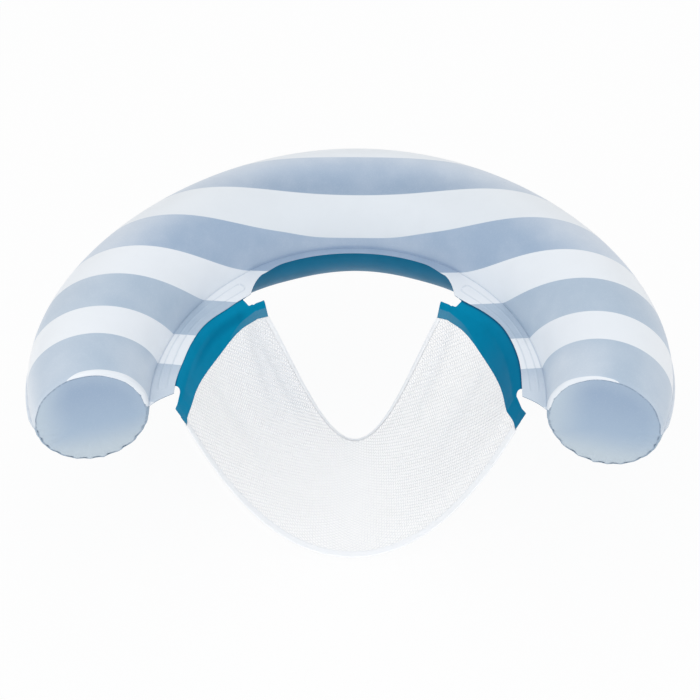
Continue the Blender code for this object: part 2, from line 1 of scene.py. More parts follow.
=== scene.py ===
"""Inflatable pool chair: the dressed model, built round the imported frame.

Metres, +Z up. The ring's seam plane is z = 0, +Y is its back, and the arms reach towards -Y.
"""

from __future__ import annotations

import json
import logging
import math
from dataclasses import dataclass, field
from enum import Enum
from typing import Any, Callable, Sequence

import bmesh
import bpy
import numpy as np
from mathutils import Matrix, Vector


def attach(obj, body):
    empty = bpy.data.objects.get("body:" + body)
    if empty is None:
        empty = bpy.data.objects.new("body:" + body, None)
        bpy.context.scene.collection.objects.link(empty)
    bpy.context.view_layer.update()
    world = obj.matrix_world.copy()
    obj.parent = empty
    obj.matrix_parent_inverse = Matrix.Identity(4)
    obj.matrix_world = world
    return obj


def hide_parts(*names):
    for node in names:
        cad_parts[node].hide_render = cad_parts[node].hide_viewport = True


LOG = logging.getLogger("pool_chair")
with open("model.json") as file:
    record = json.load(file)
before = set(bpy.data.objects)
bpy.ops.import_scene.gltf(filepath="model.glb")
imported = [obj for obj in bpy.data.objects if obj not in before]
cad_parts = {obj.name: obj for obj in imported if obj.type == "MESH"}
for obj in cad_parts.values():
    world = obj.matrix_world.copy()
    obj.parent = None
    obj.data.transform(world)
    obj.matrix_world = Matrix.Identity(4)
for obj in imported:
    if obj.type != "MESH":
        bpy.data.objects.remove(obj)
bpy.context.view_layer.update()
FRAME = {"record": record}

FLOAT_BODY = "float"
CREASE_ANGLE = math.radians(42)
TURN = 2 * math.pi
Z_AXIS = np.array([0.0, 0.0, 1.0])
WHITE = (1.0, 1.0, 1.0)
VINYL_IOR = 1.48

Array = np.ndarray
Piece = bpy.types.Object
Finish = bpy.types.Material
Pair = tuple[float, float]
Triple = tuple[float, float, float]
Colour = Triple
Given = dict[Any, Any] | None


class Side(Enum):
    """The chair's two sides, as seen from its open front."""

    LEFT = -1
    RIGHT = 1

    @property
    def word(self) -> str:
        """The side's name in lower case."""
        return self.name.lower()

    def pick(self, pair: Pair) -> float:
        """This side's value of a left and a right one."""
        return pair[self is Side.RIGHT]


class Layer(Enum):
    """The ring's two skins."""

    UPPER = 1
    LOWER = -1


# Small shared helpers


def tint(red: int, green: int, blue: int) -> Colour:
    """Turns a screen colour, of parts from 0 to 255, into a linear one."""
    shares = (np.array([red, green, blue]) / 255.0) ** 2.2
    return tuple(float(share) for share in shares)


def unit(vectors: Array) -> Array:
    """Scales vectors, held by an array's last axis, to length one."""
    lengths = np.linalg.norm(vectors, axis=-1, keepdims=True)
    return vectors / np.maximum(lengths, 1e-12)


def ease(share: Array) -> Array:
    """Steps smoothly from 0 to 1, holding values outside these at the ends."""
    held = np.clip(share, 0.0, 1.0)
    return held * held * (3 - 2 * held)


def ramp(value: Array, start: float | Array, end: float | Array) -> Array:
    """Steps smoothly from 0 at the start to 1 at the end, which may lie below the start."""
    return ease((value - start) / (end - start))


def near(value: Array, place: float | Array, reach: float) -> Array:
    """Steps smoothly from 1 at a place to 0 at this distance from it."""
    return ease(1 - np.abs(value - place) / reach)


def between(first: Any, second: Any, share: Array) -> Array:
    """Values between two others, the first at 0 and the second at 1."""
    return first + (second - first) * share


def ripple(angle: Array, strength: float, count: float, phase: Any = 0.0) -> Array:
    """Sine waves of this strength, count round a turn, and phase."""
    return strength * np.sin(count * angle + phase)


def circle(count: int) -> Array:
    """Angles evenly round a turn, as a row."""
    return np.linspace(0, TURN, count, endpoint=False)[None, :]


def signed(angle: Array) -> Array:
    """Turns angles of a full turn into ones between minus and plus half a turn."""
    return (angle + math.pi) % TURN - math.pi


def run_lengths(points: Array, axis: int = 0) -> Array:
    """Distances covered along one axis of a grid of points.

    Args:
        points: The points, with their components on the last axis.
        axis: The axis to follow.

    Returns:
        The distances, from 0 at its start.
    """
    steps = np.linalg.norm(np.diff(points, axis=axis), axis=-1)
    start = np.zeros_like(steps.take([0], axis=axis))
    return np.concatenate([start, np.cumsum(steps, axis=axis)], axis=axis)


def pose_of(*columns: Vector) -> Matrix:
    """The pose whose axes and origin are these columns."""
    pose = Matrix.Identity(4)
    for number, column in enumerate(columns):
        pose.col[number][:3] = column
    return pose


def link_object(name: str, data: Any) -> Piece:
    """Puts a mesh, lamp or camera in the scene as an object."""
    made = bpy.data.objects.new(name, data)
    bpy.context.scene.collection.objects.link(made)
    return made


def built_object(name: str, build: bmesh.types.BMesh) -> Piece:
    """Turns a mesh under construction into an object.

    Args:
        name: Name of the object and of its mesh.
        build: The construction, which is freed.

    Returns:
        The new object.
    """
    mesh = bpy.data.meshes.new(name)
    build.to_mesh(mesh)
    build.free()
    return link_object(name, mesh)


def shade(mesh: bpy.types.Mesh) -> None:
    """Shades a mesh smooth, apart from its creases."""
    mesh.shade_smooth()
    mesh.set_sharp_from_angle(angle=CREASE_ANGLE)


def cleaned(piece: Piece) -> Piece:
    """Cleans a closed mesh, turns its faces outwards and shades it.

    Args:
        piece: The object.

    Returns:
        The same object.
    """
    build = bmesh.new()
    build.from_mesh(piece.data)
    bmesh.ops.remove_doubles(build, verts=build.verts, dist=1e-6)
    bmesh.ops.dissolve_degenerate(build, edges=build.edges, dist=1e-7)
    bmesh.ops.recalc_face_normals(build, faces=build.faces)
    build.to_mesh(piece.data)
    build.free()
    shade(piece.data)
    return piece


def combine(piece: Piece, other: Piece, operation: str) -> None:
    """Cuts a solid out of a piece or joins it on, and uses it up.

    Args:
        piece: The piece.
        other: The solid.
        operation: DIFFERENCE or UNION.
    """
    change = piece.modifiers.new("Combine", "BOOLEAN")
    change.operation, change.solver, change.object = operation, "EXACT", other
    graph = bpy.context.evaluated_depsgraph_get()
    changed = piece.evaluated_get(graph)
    mesh = bpy.data.meshes.new_from_object(changed, preserve_all_data_layers=True, depsgraph=graph)
    piece.modifiers.clear()
    piece.data = mesh
    shade(mesh)
    bpy.data.objects.remove(other)


def soften(build: bmesh.types.BMesh, edges: Sequence[Any], size: float, segments: int) -> None:
    """Rounds edges of a mesh under construction to this size."""
    rounding = {"offset": size, "segments": segments, "profile": 0.5, "affect": "EDGES"}
    bmesh.ops.bevel(build, geom=edges, **rounding)


def rim_quads(first: Array, second: Array, shift: int, flip: bool) -> Array:
    """Quads from an edge, as its points and those after them, to the same edge of the back."""
    quads = np.stack([first, second, second + shift, first + shift], axis=-1)
    return quads[:, ::-1] if flip else quads


def sheet_object(
    name: str,
    grid: Array,
    thickness: float,
    values: dict[str, Array] | None = None,
    closed: bool = False,
) -> Piece:
    """Makes a thin closed solid round a grid of mid-surface points.

    Args:
        name: Name of the object.
        grid: Points as rows, columns and components.
        thickness: Thickness of the sheet, half to each side.
        values: Named values for each grid point, for its finish to read.
        closed: Whether the last column joins the first.

    Returns:
        The new object.
    """
    rows, columns = grid.shape[:2]
    down = np.gradient(grid, axis=0)
    if closed:
        across = np.roll(grid, -1, axis=1) - np.roll(grid, 1, axis=1)
    else:
        across = np.gradient(grid, axis=1)
    normals = unit(np.cross(down, across))
    pole = closed and np.ptp(grid[0], axis=0).max() < 1e-9
    if pole:
        normals[0] = unit(normals[1].mean(axis=0))
    half = normals * thickness / 2
    points = np.concatenate([(grid + half).reshape(-1, 3), (grid - half).reshape(-1, 3)])

    back = rows * columns
    index = np.arange(back).reshape(rows, columns)
    here, after = (index, np.roll(index, -1, axis=1)) if closed else (index[:, :-1], index[:, 1:])
    quads = np.stack([here[:-1], here[1:], after[1:], after[:-1]], axis=-1).reshape(-1, 4)
    rims = [] if pole else [rim_quads(here[0], after[0], back, False)]
    rims.append(rim_quads(here[-1], after[-1], back, True))
    if not closed:
        for column, flip in ((0, True), (-1, False)):
            rims.append(rim_quads(index[:-1, column], index[1:, column], back, flip))
    faces = np.concatenate([quads, quads[:, ::-1] + back, *rims])

    mesh = bpy.data.meshes.new(name)
    mesh.from_pydata(points.tolist(), [], faces.tolist())
    for key, value in (values or {}).items():
        layer = mesh.attributes.new(key, "FLOAT", "POINT")
        flat = np.asarray(np.broadcast_to(value, (rows, columns)), np.float32).ravel()
        layer.data.foreach_set("value", np.concatenate([flat, flat]))
    return cleaned(link_object(name, mesh))


def place_piece(
    piece: Piece, body: str, finish: Finish, replaces: Sequence[str]
) -> None:
    """Gives a piece its finish, its body and the frame nodes it stands for.

    Args:
        piece: The new object.
        body: The body it rides on.
        finish: Its finish.
        replaces: Frame nodes that it hides.
    """
    piece.data.materials.clear()
    piece.data.materials.append(finish)
    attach(piece, body)
    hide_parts(*replaces)
    LOG.info("%s: %d faces on %s", piece.name, len(piece.data.polygons), body)


# Shader expressions


def arithmetic(operation: str, swap: bool = False) -> Callable[[Wire, Value], Wire]:
    """The method that adds this Math node on a value and another, which comes first if swapped."""
    return lambda wire, other: wire.math(operation, other, swap)


class Wire:
    """One output of a shader node, on which arithmetic adds Math nodes.

    Least and most pick one of two values, and wrapped gives the place within a repeating period.
    """

    def __init__(self, graph: Graph, socket: bpy.types.NodeSocket) -> None:
        """Holds the socket and the graph that it belongs to."""
        self.graph = graph
        self.socket = socket

    def math(self, operation: str, other: Value = 0.0, swap: bool = False) -> Wire:
        """Adds a Math node on this value and another, which comes first if swapped."""
        first, second = (other, self) if swap else (self, other)
        return self.graph.node("ShaderNodeMath", {"operation": operation}, {0: first, 1: second})

    __add__ = __radd__ = arithmetic("ADD")
    __sub__, __rsub__ = arithmetic("SUBTRACT"), arithmetic("SUBTRACT", swap=True)
    __mul__ = __rmul__ = arithmetic("MULTIPLY")
    __truediv__, __rtruediv__ = arithmetic("DIVIDE"), arithmetic("DIVIDE", swap=True)
    least, most = arithmetic("MINIMUM"), arithmetic("MAXIMUM")
    wrapped = arithmetic("FLOORED_MODULO")

    def __abs__(self) -> Wire:
        """Size without sign."""
        return self.math("ABSOLUTE")

    def wave(self, length: float) -> Wire:
        """Even waves of this length, from 0 to 1."""
        return (self * (TURN / length)).math("SINE") * 0.5 + 0.5

    def step(self, low: float, high: float) -> Wire:
        """A smooth step.

        Args:
            low: Where it is 0.
            high: Where it is 1, above or below low.

        Returns:
            The step.
        """
        if low > high:
            return 1 - self.step(high, low)
        return self.graph.node(
            "ShaderNodeMapRange",
            {"interpolation_type": "SMOOTHSTEP"},
            {"Value": self, "From Min": low, "From Max": high},
        )


Value = Wire | float


class Graph:
    """The node tree of one finish, or of the surround."""

    def __init__(self, name: str, store: Any = None) -> None:
        """Starts an empty node tree.

        Args:
            name: Name of its material or world.
            store: Where that is kept, the materials if not given.
        """
        self.owner = (bpy.data.materials if store is None else store).new(name)
        self.owner.use_nodes = True
        self.tree = self.owner.node_tree
        self.tree.nodes.clear()

    def node(
        self, kind: str, settings: Given = None, inputs: Given = None, output: int | str = 0
    ) -> Wire:
        """Adds any node.

        Args:
            kind: The node's type.
            settings: Its settings, such as an operation or a ramp's stops, set first.
            inputs: Values or wires for its sockets, by name or number.
            output: The output wanted.

        Returns:
            That output.
        """
        made = self.tree.nodes.new(kind)
        for key, value in (settings or {}).items():
            setattr(made, key, value)
        for key, value in (inputs or {}).items():
            socket = made.inputs[key]
            if isinstance(value, Wire):
                self.tree.links.new(value.socket, socket)
            elif isinstance(value, tuple) and len(value) == 3 and socket.type == "RGBA":
                socket.default_value = (*value, 1.0)
            else:
                socket.default_value = value
        return Wire(self, made.outputs[output])

    def value(self, name: str) -> Wire:
        """A named value that the mesh carries."""
        return self.node("ShaderNodeAttribute", {"attribute_name": name}, output="Fac")

    def place(self) -> Wire:
        """The point's place on the chair, in metres."""
        return self.node("ShaderNodeTexCoord", output="Object")

    def noise(self, size: float, detail: float, rough: float = 0.6) -> Wire:
        """Cloudy noise from 0 to 1: the patches' size in metres, finer layers, their strength."""
        inputs = {"Vector": self.place(), "Scale": 1 / size, "Detail": detail, "Roughness": rough}
        return self.node("ShaderNodeTexNoise", {"noise_dimensions": "3D"}, inputs)

    def blend(self, share: Value, first: Wire | Colour, second: Wire | Colour) -> Wire:
        """Mixes two colours, the first at a share of 0 and the second at 1."""
        inputs = {0: share, 6: first, 7: second}
        return self.node("ShaderNodeMix", {"data_type": "RGBA"}, inputs, output=2)

    def darken(self, colour: Wire | Colour, share: Wire) -> Wire:
        """Darkens a colour by a share that varies over the surface."""
        return self.blend(share, colour, (0.0, 0.0, 0.0))

    def bump(self, height: Wire, depth: float, under: Wire | None = None) -> Wire:
        """Turns a height into a normal.

        Args:
            height: Height from 0 to 1.
            depth: What a height of 1 stands for, in metres.
            under: A normal that this one is laid on.

        Returns:
            The normal.
        """
        inputs: dict[Any, Any] = {"Height": height, "Distance": depth, "Strength": 1.0}
        if under is not None:
            inputs["Normal"] = under
        return self.node("ShaderNodeBump", None, inputs)

    def surface(self, colour: Wire, rough: Wire, normal: Wire, even: dict[str, float]) -> Wire:
        """Adds the main shader, with the values of the sockets that are even all over."""
        inputs = {"Base Color": colour, "Roughness": rough, "Normal": normal, **even}
        return self.node("ShaderNodeBsdfPrincipled", None, inputs)

    def mixed(self, share: Value, first: Wire, second: Wire) -> Wire:
        """Mixes two shaders."""
        return self.node("ShaderNodeMixShader", None, {0: share, 1: first, 2: second})

    def done(self, shader: Wire, end: str = "ShaderNodeOutputMaterial") -> Any:
        """Connects the shader to an output of this type and gives the material or world."""
        self.tree.links.new(shader.socket, self.tree.nodes.new(end).inputs["Surface"])
        return self.owner


# Finishes


@dataclass(frozen=True)
class PrintedVinyl:
    """Satin vinyl printed with wide bands across the flat sheet.

    A run is measured across the print's bands. A turn is measured round the tube, from 0 at its
    outer seam to 1 at its inner one. Each pair gives where a smooth step is 0 and where it is 1.
    """

    ink: Colour = tint(173, 191, 210)
    deep_ink: Colour = tint(157, 178, 203)
    ground: Colour = tint(235, 240, 246)
    back_ground: Colour = tint(226, 232, 238)
    hazed: Colour = tint(252, 253, 254)
    line: Colour = tint(160, 178, 198)
    edges: tuple[float, ...] = (
        0.2767, 0.1925, 0.1240, 0.0541, -0.0040, -0.0672, -0.1178, -0.1825,
    )
    edge_blur: float = 0.0007
    deep_run: Pair = (-0.01, 0.06)
    back_run: Pair = (0.06, 0.13)
    front_run: Pair = (-0.10, -0.15)
    crown_runs: tuple[Pair, Pair] = ((0.245, 0.195), (0.15, 0.19))
    outer_turn: Pair = (0.678, 0.361)
    rim_turn: Pair = (0.278, 0.056)
    inner_turn: Pair = (0.583, 0.833)
    weld_turns: tuple[Pair, Pair] = ((0.85, 0.99), (1.1, 1.0))
    outer_haze: float = 0.23
    rim_haze: float = 0.46
    front_haze: float = 0.34
    weld_haze: float = 0.13
    most_haze: float = 0.9
    crown_dark: float = 0.10
    line_share: float = 0.36
    line_on_ink: float = 0.20
    fin_from: float = 2.2
    roughness: float = 0.42
    cloud: Triple = (0.05, 4.0, 0.6)
    speck: Triple = (0.0025, 2.0, 0.7)
    grain: Pair = (0.0016, 2.0)
    grain_depth: float = 0.00004

    def inked(self, place: Wire) -> Wire:
        """Where the ink lies.

        Args:
            place: Place across the print's bands.

        Returns:
            1 on the inked bands and 0 between them.
        """
        inked, blur = 0.0, self.edge_blur / 2
        for number, edge in enumerate(self.edges):
            passed = place.step(edge + blur, edge - blur)
            inked = inked - passed if number % 2 else inked + passed
        return inked

    def material(self) -> Finish:
        """Builds the finish.

        Returns:
            The material.
        """
        graph = Graph("printed_vinyl")
        place, turn, weld = (graph.value(name) for name in ("print_place", "turn", "weld"))
        inked = self.inked(place)
        cloud, speck = graph.noise(*self.cloud), graph.noise(*self.speck)
        back_shade, outer, rim = (
            place.step(*self.deep_run), turn.step(*self.outer_turn), turn.step(*self.rim_turn)
        )
        welded = turn.step(*self.weld_turns[0]) * turn.step(*self.weld_turns[1])
        front = turn.step(*self.inner_turn) * place.step(*self.front_run)
        crown = place.step(*self.crown_runs[0]) * place.step(*self.crown_runs[1])
        # Ink pales towards the tube's outer side. Painted light lifts it near the outer seam, in
        # the inner weld's crease and on the inner flank near the arms' ends. Cloud and speck add
        # random mottling.
        paling_and_painted_light = outer * (back_shade * 1.2 + 1.0) * self.outer_haze + rim * self.rim_haze
        paling_and_painted_light = paling_and_painted_light + welded * self.weld_haze + front * self.front_haze
        paling_and_painted_light = paling_and_painted_light + cloud.step(0.35, 0.75) * 0.10 + speck.step(0.45, 0.8) * 0.09
        # Darker ink on the back bands, lighter towards the arms: painted shade.
        ink = graph.blend(back_shade, self.ink, self.deep_ink)
        ink = graph.darken(ink, crown * self.crown_dark)
        ink = graph.blend(paling_and_painted_light.least(self.most_haze), ink, self.ground)
        ground = graph.blend(place.step(*self.back_run) * 0.8, self.ground, self.back_ground)
        # Ground pales towards the outer side, with painted light near the outer seam.
        ground = graph.blend(outer * 0.25 + rim * 0.6, ground, self.hazed)
        ground = graph.darken(ground, cloud.step(0.4, 0.8) * 0.02)
        colour = graph.blend(inked, ground, ink)
        line = weld * (self.line_share - inked * self.line_on_ink)
        colour = graph.blend(line.least(0.75), colour, self.line)
        fin = ((weld - self.fin_from) * 2.0).most(0.0)
        colour = graph.blend(fin, colour, self.ground)
        rough = self.roughness + (cloud - 0.5) * 0.10 - inked * 0.03 - weld.least(1.0) * 0.08
        normal = graph.bump(graph.noise(*self.grain), self.grain_depth)
        return graph.done(graph.surface(colour, rough, normal, {"IOR": VINYL_IOR}))


@dataclass(frozen=True)
class TealVinyl:
    """Dyed satin vinyl, paler where a white layer lies under it, with painted shade in its folds.
    """

    name: str
    colour: Colour
    lapped: Colour
    folded: Colour
    specular: float
    roughness: float = 0.40
    cloud: Pair = (0.04, 4.0)
    wear: Triple = (0.006, 3.0, 0.7)
    mottle: Pair = (0.0035, 2.0)
    grain: Pair = (0.0018, 2.0)
    grain_depth: float = 0.00004

    def material(self) -> Finish:
        """Builds the finish.

        Returns:
            The material.
        """
        graph = Graph(self.name)
        cloud, lap = graph.noise(*self.cloud), graph.value("lap")
        worn = graph.noise(*self.wear).step(0.62, 0.85) * 0.05
        mottled = graph.noise(*self.mottle).step(0.3, 0.7) * 0.22
        colour = graph.darken(self.colour, cloud.step(0.4, 0.8) * 0.10)
        colour = graph.blend(worn, colour, self.lapped)
        colour = graph.blend(lap * (0.95 - mottled), colour, self.lapped)
        # Painted shade along the band's weld edge, in its fold and towards the right band's front
        # end.
        colour = graph.blend(graph.value("fold"), colour, self.folded)
        rough = self.roughness + (cloud - 0.5) * 0.12 - lap * 0.05
        normal = graph.bump(graph.noise(*self.grain), self.grain_depth)
        even = {"IOR": VINYL_IOR, "Specular IOR Level": self.specular}
        return graph.done(graph.surface(colour, rough, normal, even))


@dataclass(frozen=True)
class CapVinyl:
    """The end discs' plain vinyl, creased towards the welded rim, paler at the foot, with painted
    light on the left.
    """

    middle: Colour = tint(163, 184, 207)
    crown: Colour = tint(150, 171, 197)
    foot: Colour = tint(196, 209, 219)
    rim: Colour = tint(188, 204, 217)
    speck: Colour = tint(212, 222, 230)
    seam: Colour = tint(118, 136, 160)
    crown_rise: Pair = (-0.02, 0.07)
    foot_fall: Pair = (0.0, -0.075)
    seam_reach: Pair = (0.962, 0.978)
    crease_reach: Pair = (0.55, 1.0)
    crease_depth: float = 0.0006
    grain_depth: float = 0.00004
    roughness: float = 0.42

    def material(self) -> Finish:
        """Builds the finish.

        Returns:
            The material.
        """
        graph = Graph("cap_vinyl")
        reach, cloud = graph.value("reach"), graph.noise(0.03, 4.0)
        height = graph.node("ShaderNodeSeparateXYZ", None, {0: graph.place()}, output="Z")
        colour = graph.blend(height.step(*self.crown_rise), self.middle, self.crown)
        # Paler at the foot, and painted light on the left of each disc.
        faded = height.step(*self.foot_fall).most(graph.value("faded"))
        colour = graph.blend(faded, colour, self.foot)
        rim = reach.step(0.7, 1.0) * 0.25 + (cloud - 0.5) * 0.2
        colour = graph.blend(rim, colour, self.rim)
        speck = graph.noise(0.0022, 2.0, 0.7).step(0.5, 0.8) * 0.14
        colour = graph.blend(speck, colour, self.speck)
        broken = graph.noise(0.006, 2.0).step(0.3, 0.6) * 0.52 + 0.08
        colour = graph.blend(reach.step(*self.seam_reach) * broken, colour, self.seam)
        crease = graph.noise(0.009, 3.0) * reach.step(*self.crease_reach)
        grain = graph.bump(graph.noise(0.0016, 2.0), self.grain_depth)
        normal = graph.bump(crease, self.crease_depth, grain)
        rough = self.roughness + (cloud - 0.5) * 0.14
        return graph.done(graph.surface(colour, rough, normal, {"IOR": VINYL_IOR}))


@dataclass(frozen=True)
class ClearVinyl:
    """The milky clear vinyl of the valves and of the inner disc."""

    colour: Colour = tint(214, 224, 234)
    clouded: Colour = tint(184, 204, 222)
    clearness: float = 0.35
    roughness: float = 0.22

    def material(self) -> Finish:
        """Builds the finish.

        Returns:
            The material.
        """
        graph = Graph("clear_vinyl")
        cloud = graph.noise(0.004, 3.0)
        colour = graph.blend(cloud.step(0.35, 0.8) * 0.4, self.colour, self.clouded)
        rough, normal = self.roughness + cloud * 0.14, graph.bump(cloud, 0.00005)
        even = {"IOR": VINYL_IOR, "Transmission Weight": self.clearness}
        return graph.done(graph.surface(colour, rough, normal, even))


@dataclass(frozen=True)
class SeatNet:
    """White knitted net with rows of small round openings, on two lattices half a pitch apart."""

    thread: Colour = tint(254, 254, 255)
    shadow: Colour = tint(240, 243, 248)
    through: Colour = tint(252, 252, 254)
    see_through: float = 0.06
    pitch: float = 0.0058
    opening: float = 0.00241
    opening_edge: Pair = (0.94, 1.05)
    gathered: float = 0.0009
    twist_length: float = 0.0007
    twist_depth: float = 0.00004
    cord_depth: float = 0.00012
    roughness: float = 0.75

    def from_opening(self, run: Wire, fall: Wire, shift: float) -> Wire:
        """Distance to the nearest opening of one lattice.

        Args:
            run: Place across the seat.
            fall: Place along the seat.
            shift: The lattice's shift, in pitches.

        Returns:
            The distance.
        """
        wide, high = self.pitch, self.pitch * math.sqrt(3)
        x = (fall + shift * wide).wrapped(wide) - wide / 2
        y = (run + shift * high).wrapped(high) - high / 2
        return (x * x + y * y).math("SQRT")

    def material(self) -> Finish:
        """Builds the finish.

        Returns:
            The material.
        """
        graph = Graph("seat_net")
        run, fall = graph.value("cloth_run"), graph.value("cloth_fall")
        reach = self.from_opening(run, fall, 0.0).least(self.from_opening(run, fall, 0.5))
        near = reach + graph.value("gather") * self.gathered
        solid = near.step(*(self.opening * share for share in self.opening_edge))
        cord = reach.step(self.opening, self.pitch / 2)
        colour = graph.blend(cord * 0.75 + 0.25, self.shadow, self.thread)
        colour = graph.darken(colour, graph.noise(0.03, 3.0).step(0.4, 0.8) * 0.01)
        twist = (run + fall).wave(self.twist_length)
        normal = graph.bump(twist, self.twist_depth, graph.bump(cord, self.cord_depth))
        rough = self.roughness + twist * 0.1
        thread = graph.surface(colour, rough, normal, {"Sheen Weight": 0.1})
        lit = graph.node("ShaderNodeBsdfTranslucent", None, {"Color": self.through})
        clear = graph.node("ShaderNodeBsdfTransparent", None, {"Color": WHITE})
        return graph.done(graph.mixed(solid, clear, graph.mixed(self.see_through, thread, lit)))


@dataclass(frozen=True)
class HemTape:
    """White woven tape with two rows of stitches."""

    colour: Colour = tint(252, 253, 255)
    stitched: Colour = tint(234, 238, 243)
    stitch_gap: float = 0.0032
    stitch_depth: float = 0.0002
    rib_length: float = 0.0011
    rib_depth: float = 0.00004
    rows: Pair = (0.18, 0.82)
    roughness: float = 0.72

    def material(self) -> Finish:
        """Builds the finish.

        Returns:
            The material.
        """
        graph = Graph("hem_tape")
        run, across = graph.value("tape_run"), graph.value("tape_across")
        first, second = (abs(across - place).step(0.06, 0.03) for place in self.rows)
        row = first.most(second)
        dash = abs(run.wrapped(self.stitch_gap) / self.stitch_gap - 0.5)
        rib = run.wave(self.rib_length)
        worn = graph.noise(0.02, 3.0).step(0.4, 0.8) * 0.01
        colour = graph.darken(self.colour, rib * 0.02 + worn)
        colour = graph.blend(row * dash.step(0.40, 0.48), colour, self.stitched)
        stitch = row * dash.step(0.42, 0.34)
        normal = graph.bump(stitch, self.stitch_depth, graph.bump(rib, self.rib_depth))
        rough = self.roughness + rib * 0.1
        return graph.done(graph.surface(colour, rough, normal, {"Sheen Weight": 0.15}))


# The ring


@dataclass
class RingPlan:
    """The ring's centreline and tube, measured along it: 0 at the back, positive to the right arm.

    Each key pairs a share of an arm's length with the value there.
    """

    back_reach: float = 0.2725
    front_reach: float = 0.2725
    flank: Pair = (0.3967, -0.1032)
    end_spread: float = 0.3831
    back_pull: float = 0.6505
    side_pull: float = 0.5592
    front_pull: float = 0.1436
    end_pull: float = 0.2038
    flare: float = math.radians(8.15)
    toe_in: float = math.radians(17.2)
    back_radius: float = 0.1118
    radius_keys: tuple[Pair, ...] = ((0.4, 0.1063), (0.8, 0.1007), (1.0, 0.0860))
    web_keys: tuple[Pair, ...] = (
        (0.25, 0.0150), (0.34, 0.0225), (0.434, 0.0515), (0.66, 0.032), (0.965, 0.0375),
    )
    neck_hollow: float = 1.25
    front_hollow: float = 1.6
    cuff_flange: float = 0.003
    steps: int = 900
    arm: float = field(init=False)

    def __post_init__(self) -> None:
        """Works out the centreline and the radius curve."""
        back, flank = np.array([0.0, self.back_reach]), np.array(self.flank)
        end = np.array([self.end_spread, -self.front_reach])
        flare = np.array([math.sin(self.flare), -math.cos(self.flare)])
        toe = np.array([-math.sin(self.toe_in), -math.cos(self.toe_in)])
        side = self.cubic(back, np.array([self.back_pull, 0]), flank, flare * self.side_pull)
        front = self.cubic(flank, flare * self.front_pull, end, toe * self.end_pull)
        self.points = np.vstack([side, front[1:]])
        self.lengths = run_lengths(self.points)
        self.arm = float(self.lengths[-1])
        self.tangents = unit(np.gradient(self.points, self.lengths, axis=0))
        self.tangents[0] = [1, 0]
        shares, radii = np.array(self.radius_keys).T
        self.curve = np.linalg.solve(self.powers(shares * self.arm), radii - self.back_radius)

    def cubic(self, start: Array, leave: Array, end: Array, reach: Array) -> Array:
        """Points of the cubic between two places.

        Args:
            start: First place.
            leave: Pull at the start.
            end: Last place.
            reach: Pull at the end.

        Returns:
            The points.
        """
        t = np.linspace(0, 1, self.steps)[:, None]
        places = (2 * t**3 - 3 * t**2 + 1) * start + (3 * t**2 - 2 * t**3) * end
        return places + (t**3 - 2 * t**2 + t) * leave + (t**3 - t**2) * reach

    def powers(self, s: Array) -> Array:
        """The powers that the radius curve adds up."""
        return np.stack([s**2, s**3, s**4], axis=-1)

    def radius(self, along: Array) -> Array:
        """Radius of the tube at places along it."""
        return self.back_radius + self.powers(np.abs(along)) @ self.curve

    def frame(self, along: Array) -> tuple[Array, Array, Array]:
        """Centre, outward and forward directions at places along the ring.

        Args:
            along: Places, which may run straight past an arm's end.

        Returns:
            Three arrays of vectors.
        """
        side = np.where(along < 0, -1.0, 1.0)
        s = np.minimum(np.abs(along), self.arm)
        past = np.maximum(np.abs(along) - self.arm, 0)
        runs = (*self.points.T, *self.tangents.T)
        x, y, tangent_x, tangent_y = (np.interp(s, self.lengths, run) for run in runs)
        nil = np.zeros_like(x)
        forward = unit(np.stack([side * tangent_x, tangent_y, nil], axis=-1))
        outward = np.stack([-side * forward[..., 1], side * forward[..., 0], nil], axis=-1)
        centre = np.stack([side * x, y, nil], axis=-1) + forward * past[..., None]
        return centre, outward, forward

    def place(self, along: Array, out: Array, up: Array) -> Array:
        """Points beside the centreline, out from it and up."""
        along, out, up = np.broadcast_arrays(along, out, up)
        centre, outward, _ = self.frame(along)
        return centre + outward * out[..., None] + Z_AXIS * up[..., None]

    def web(self, along: Array) -> Array:
        """Width of the flat inner flange at places along the ring.

        Args:
            along: The places.

        Returns:
            The widths.
        """
        share = np.abs(along) / self.arm
        width = np.full(np.shape(share), self.web_keys[0][1])
        spans = zip(self.web_keys, self.web_keys[1:])
        for number, ((start, first), (end, second)) in enumerate(spans):
            rise = np.clip((share - start) / (end - start), 0, 1)
            rise = rise**self.neck_hollow if number == 1 else ease(rise)
            width = np.where(share > start, between(first, second, rise), width)
        start, first = self.web_keys[-1]
        left = np.clip((1 - share) / (1 - start), 0, 1) ** self.front_hollow
        return np.where(share > start, between(self.cuff_flange, first, left), width)


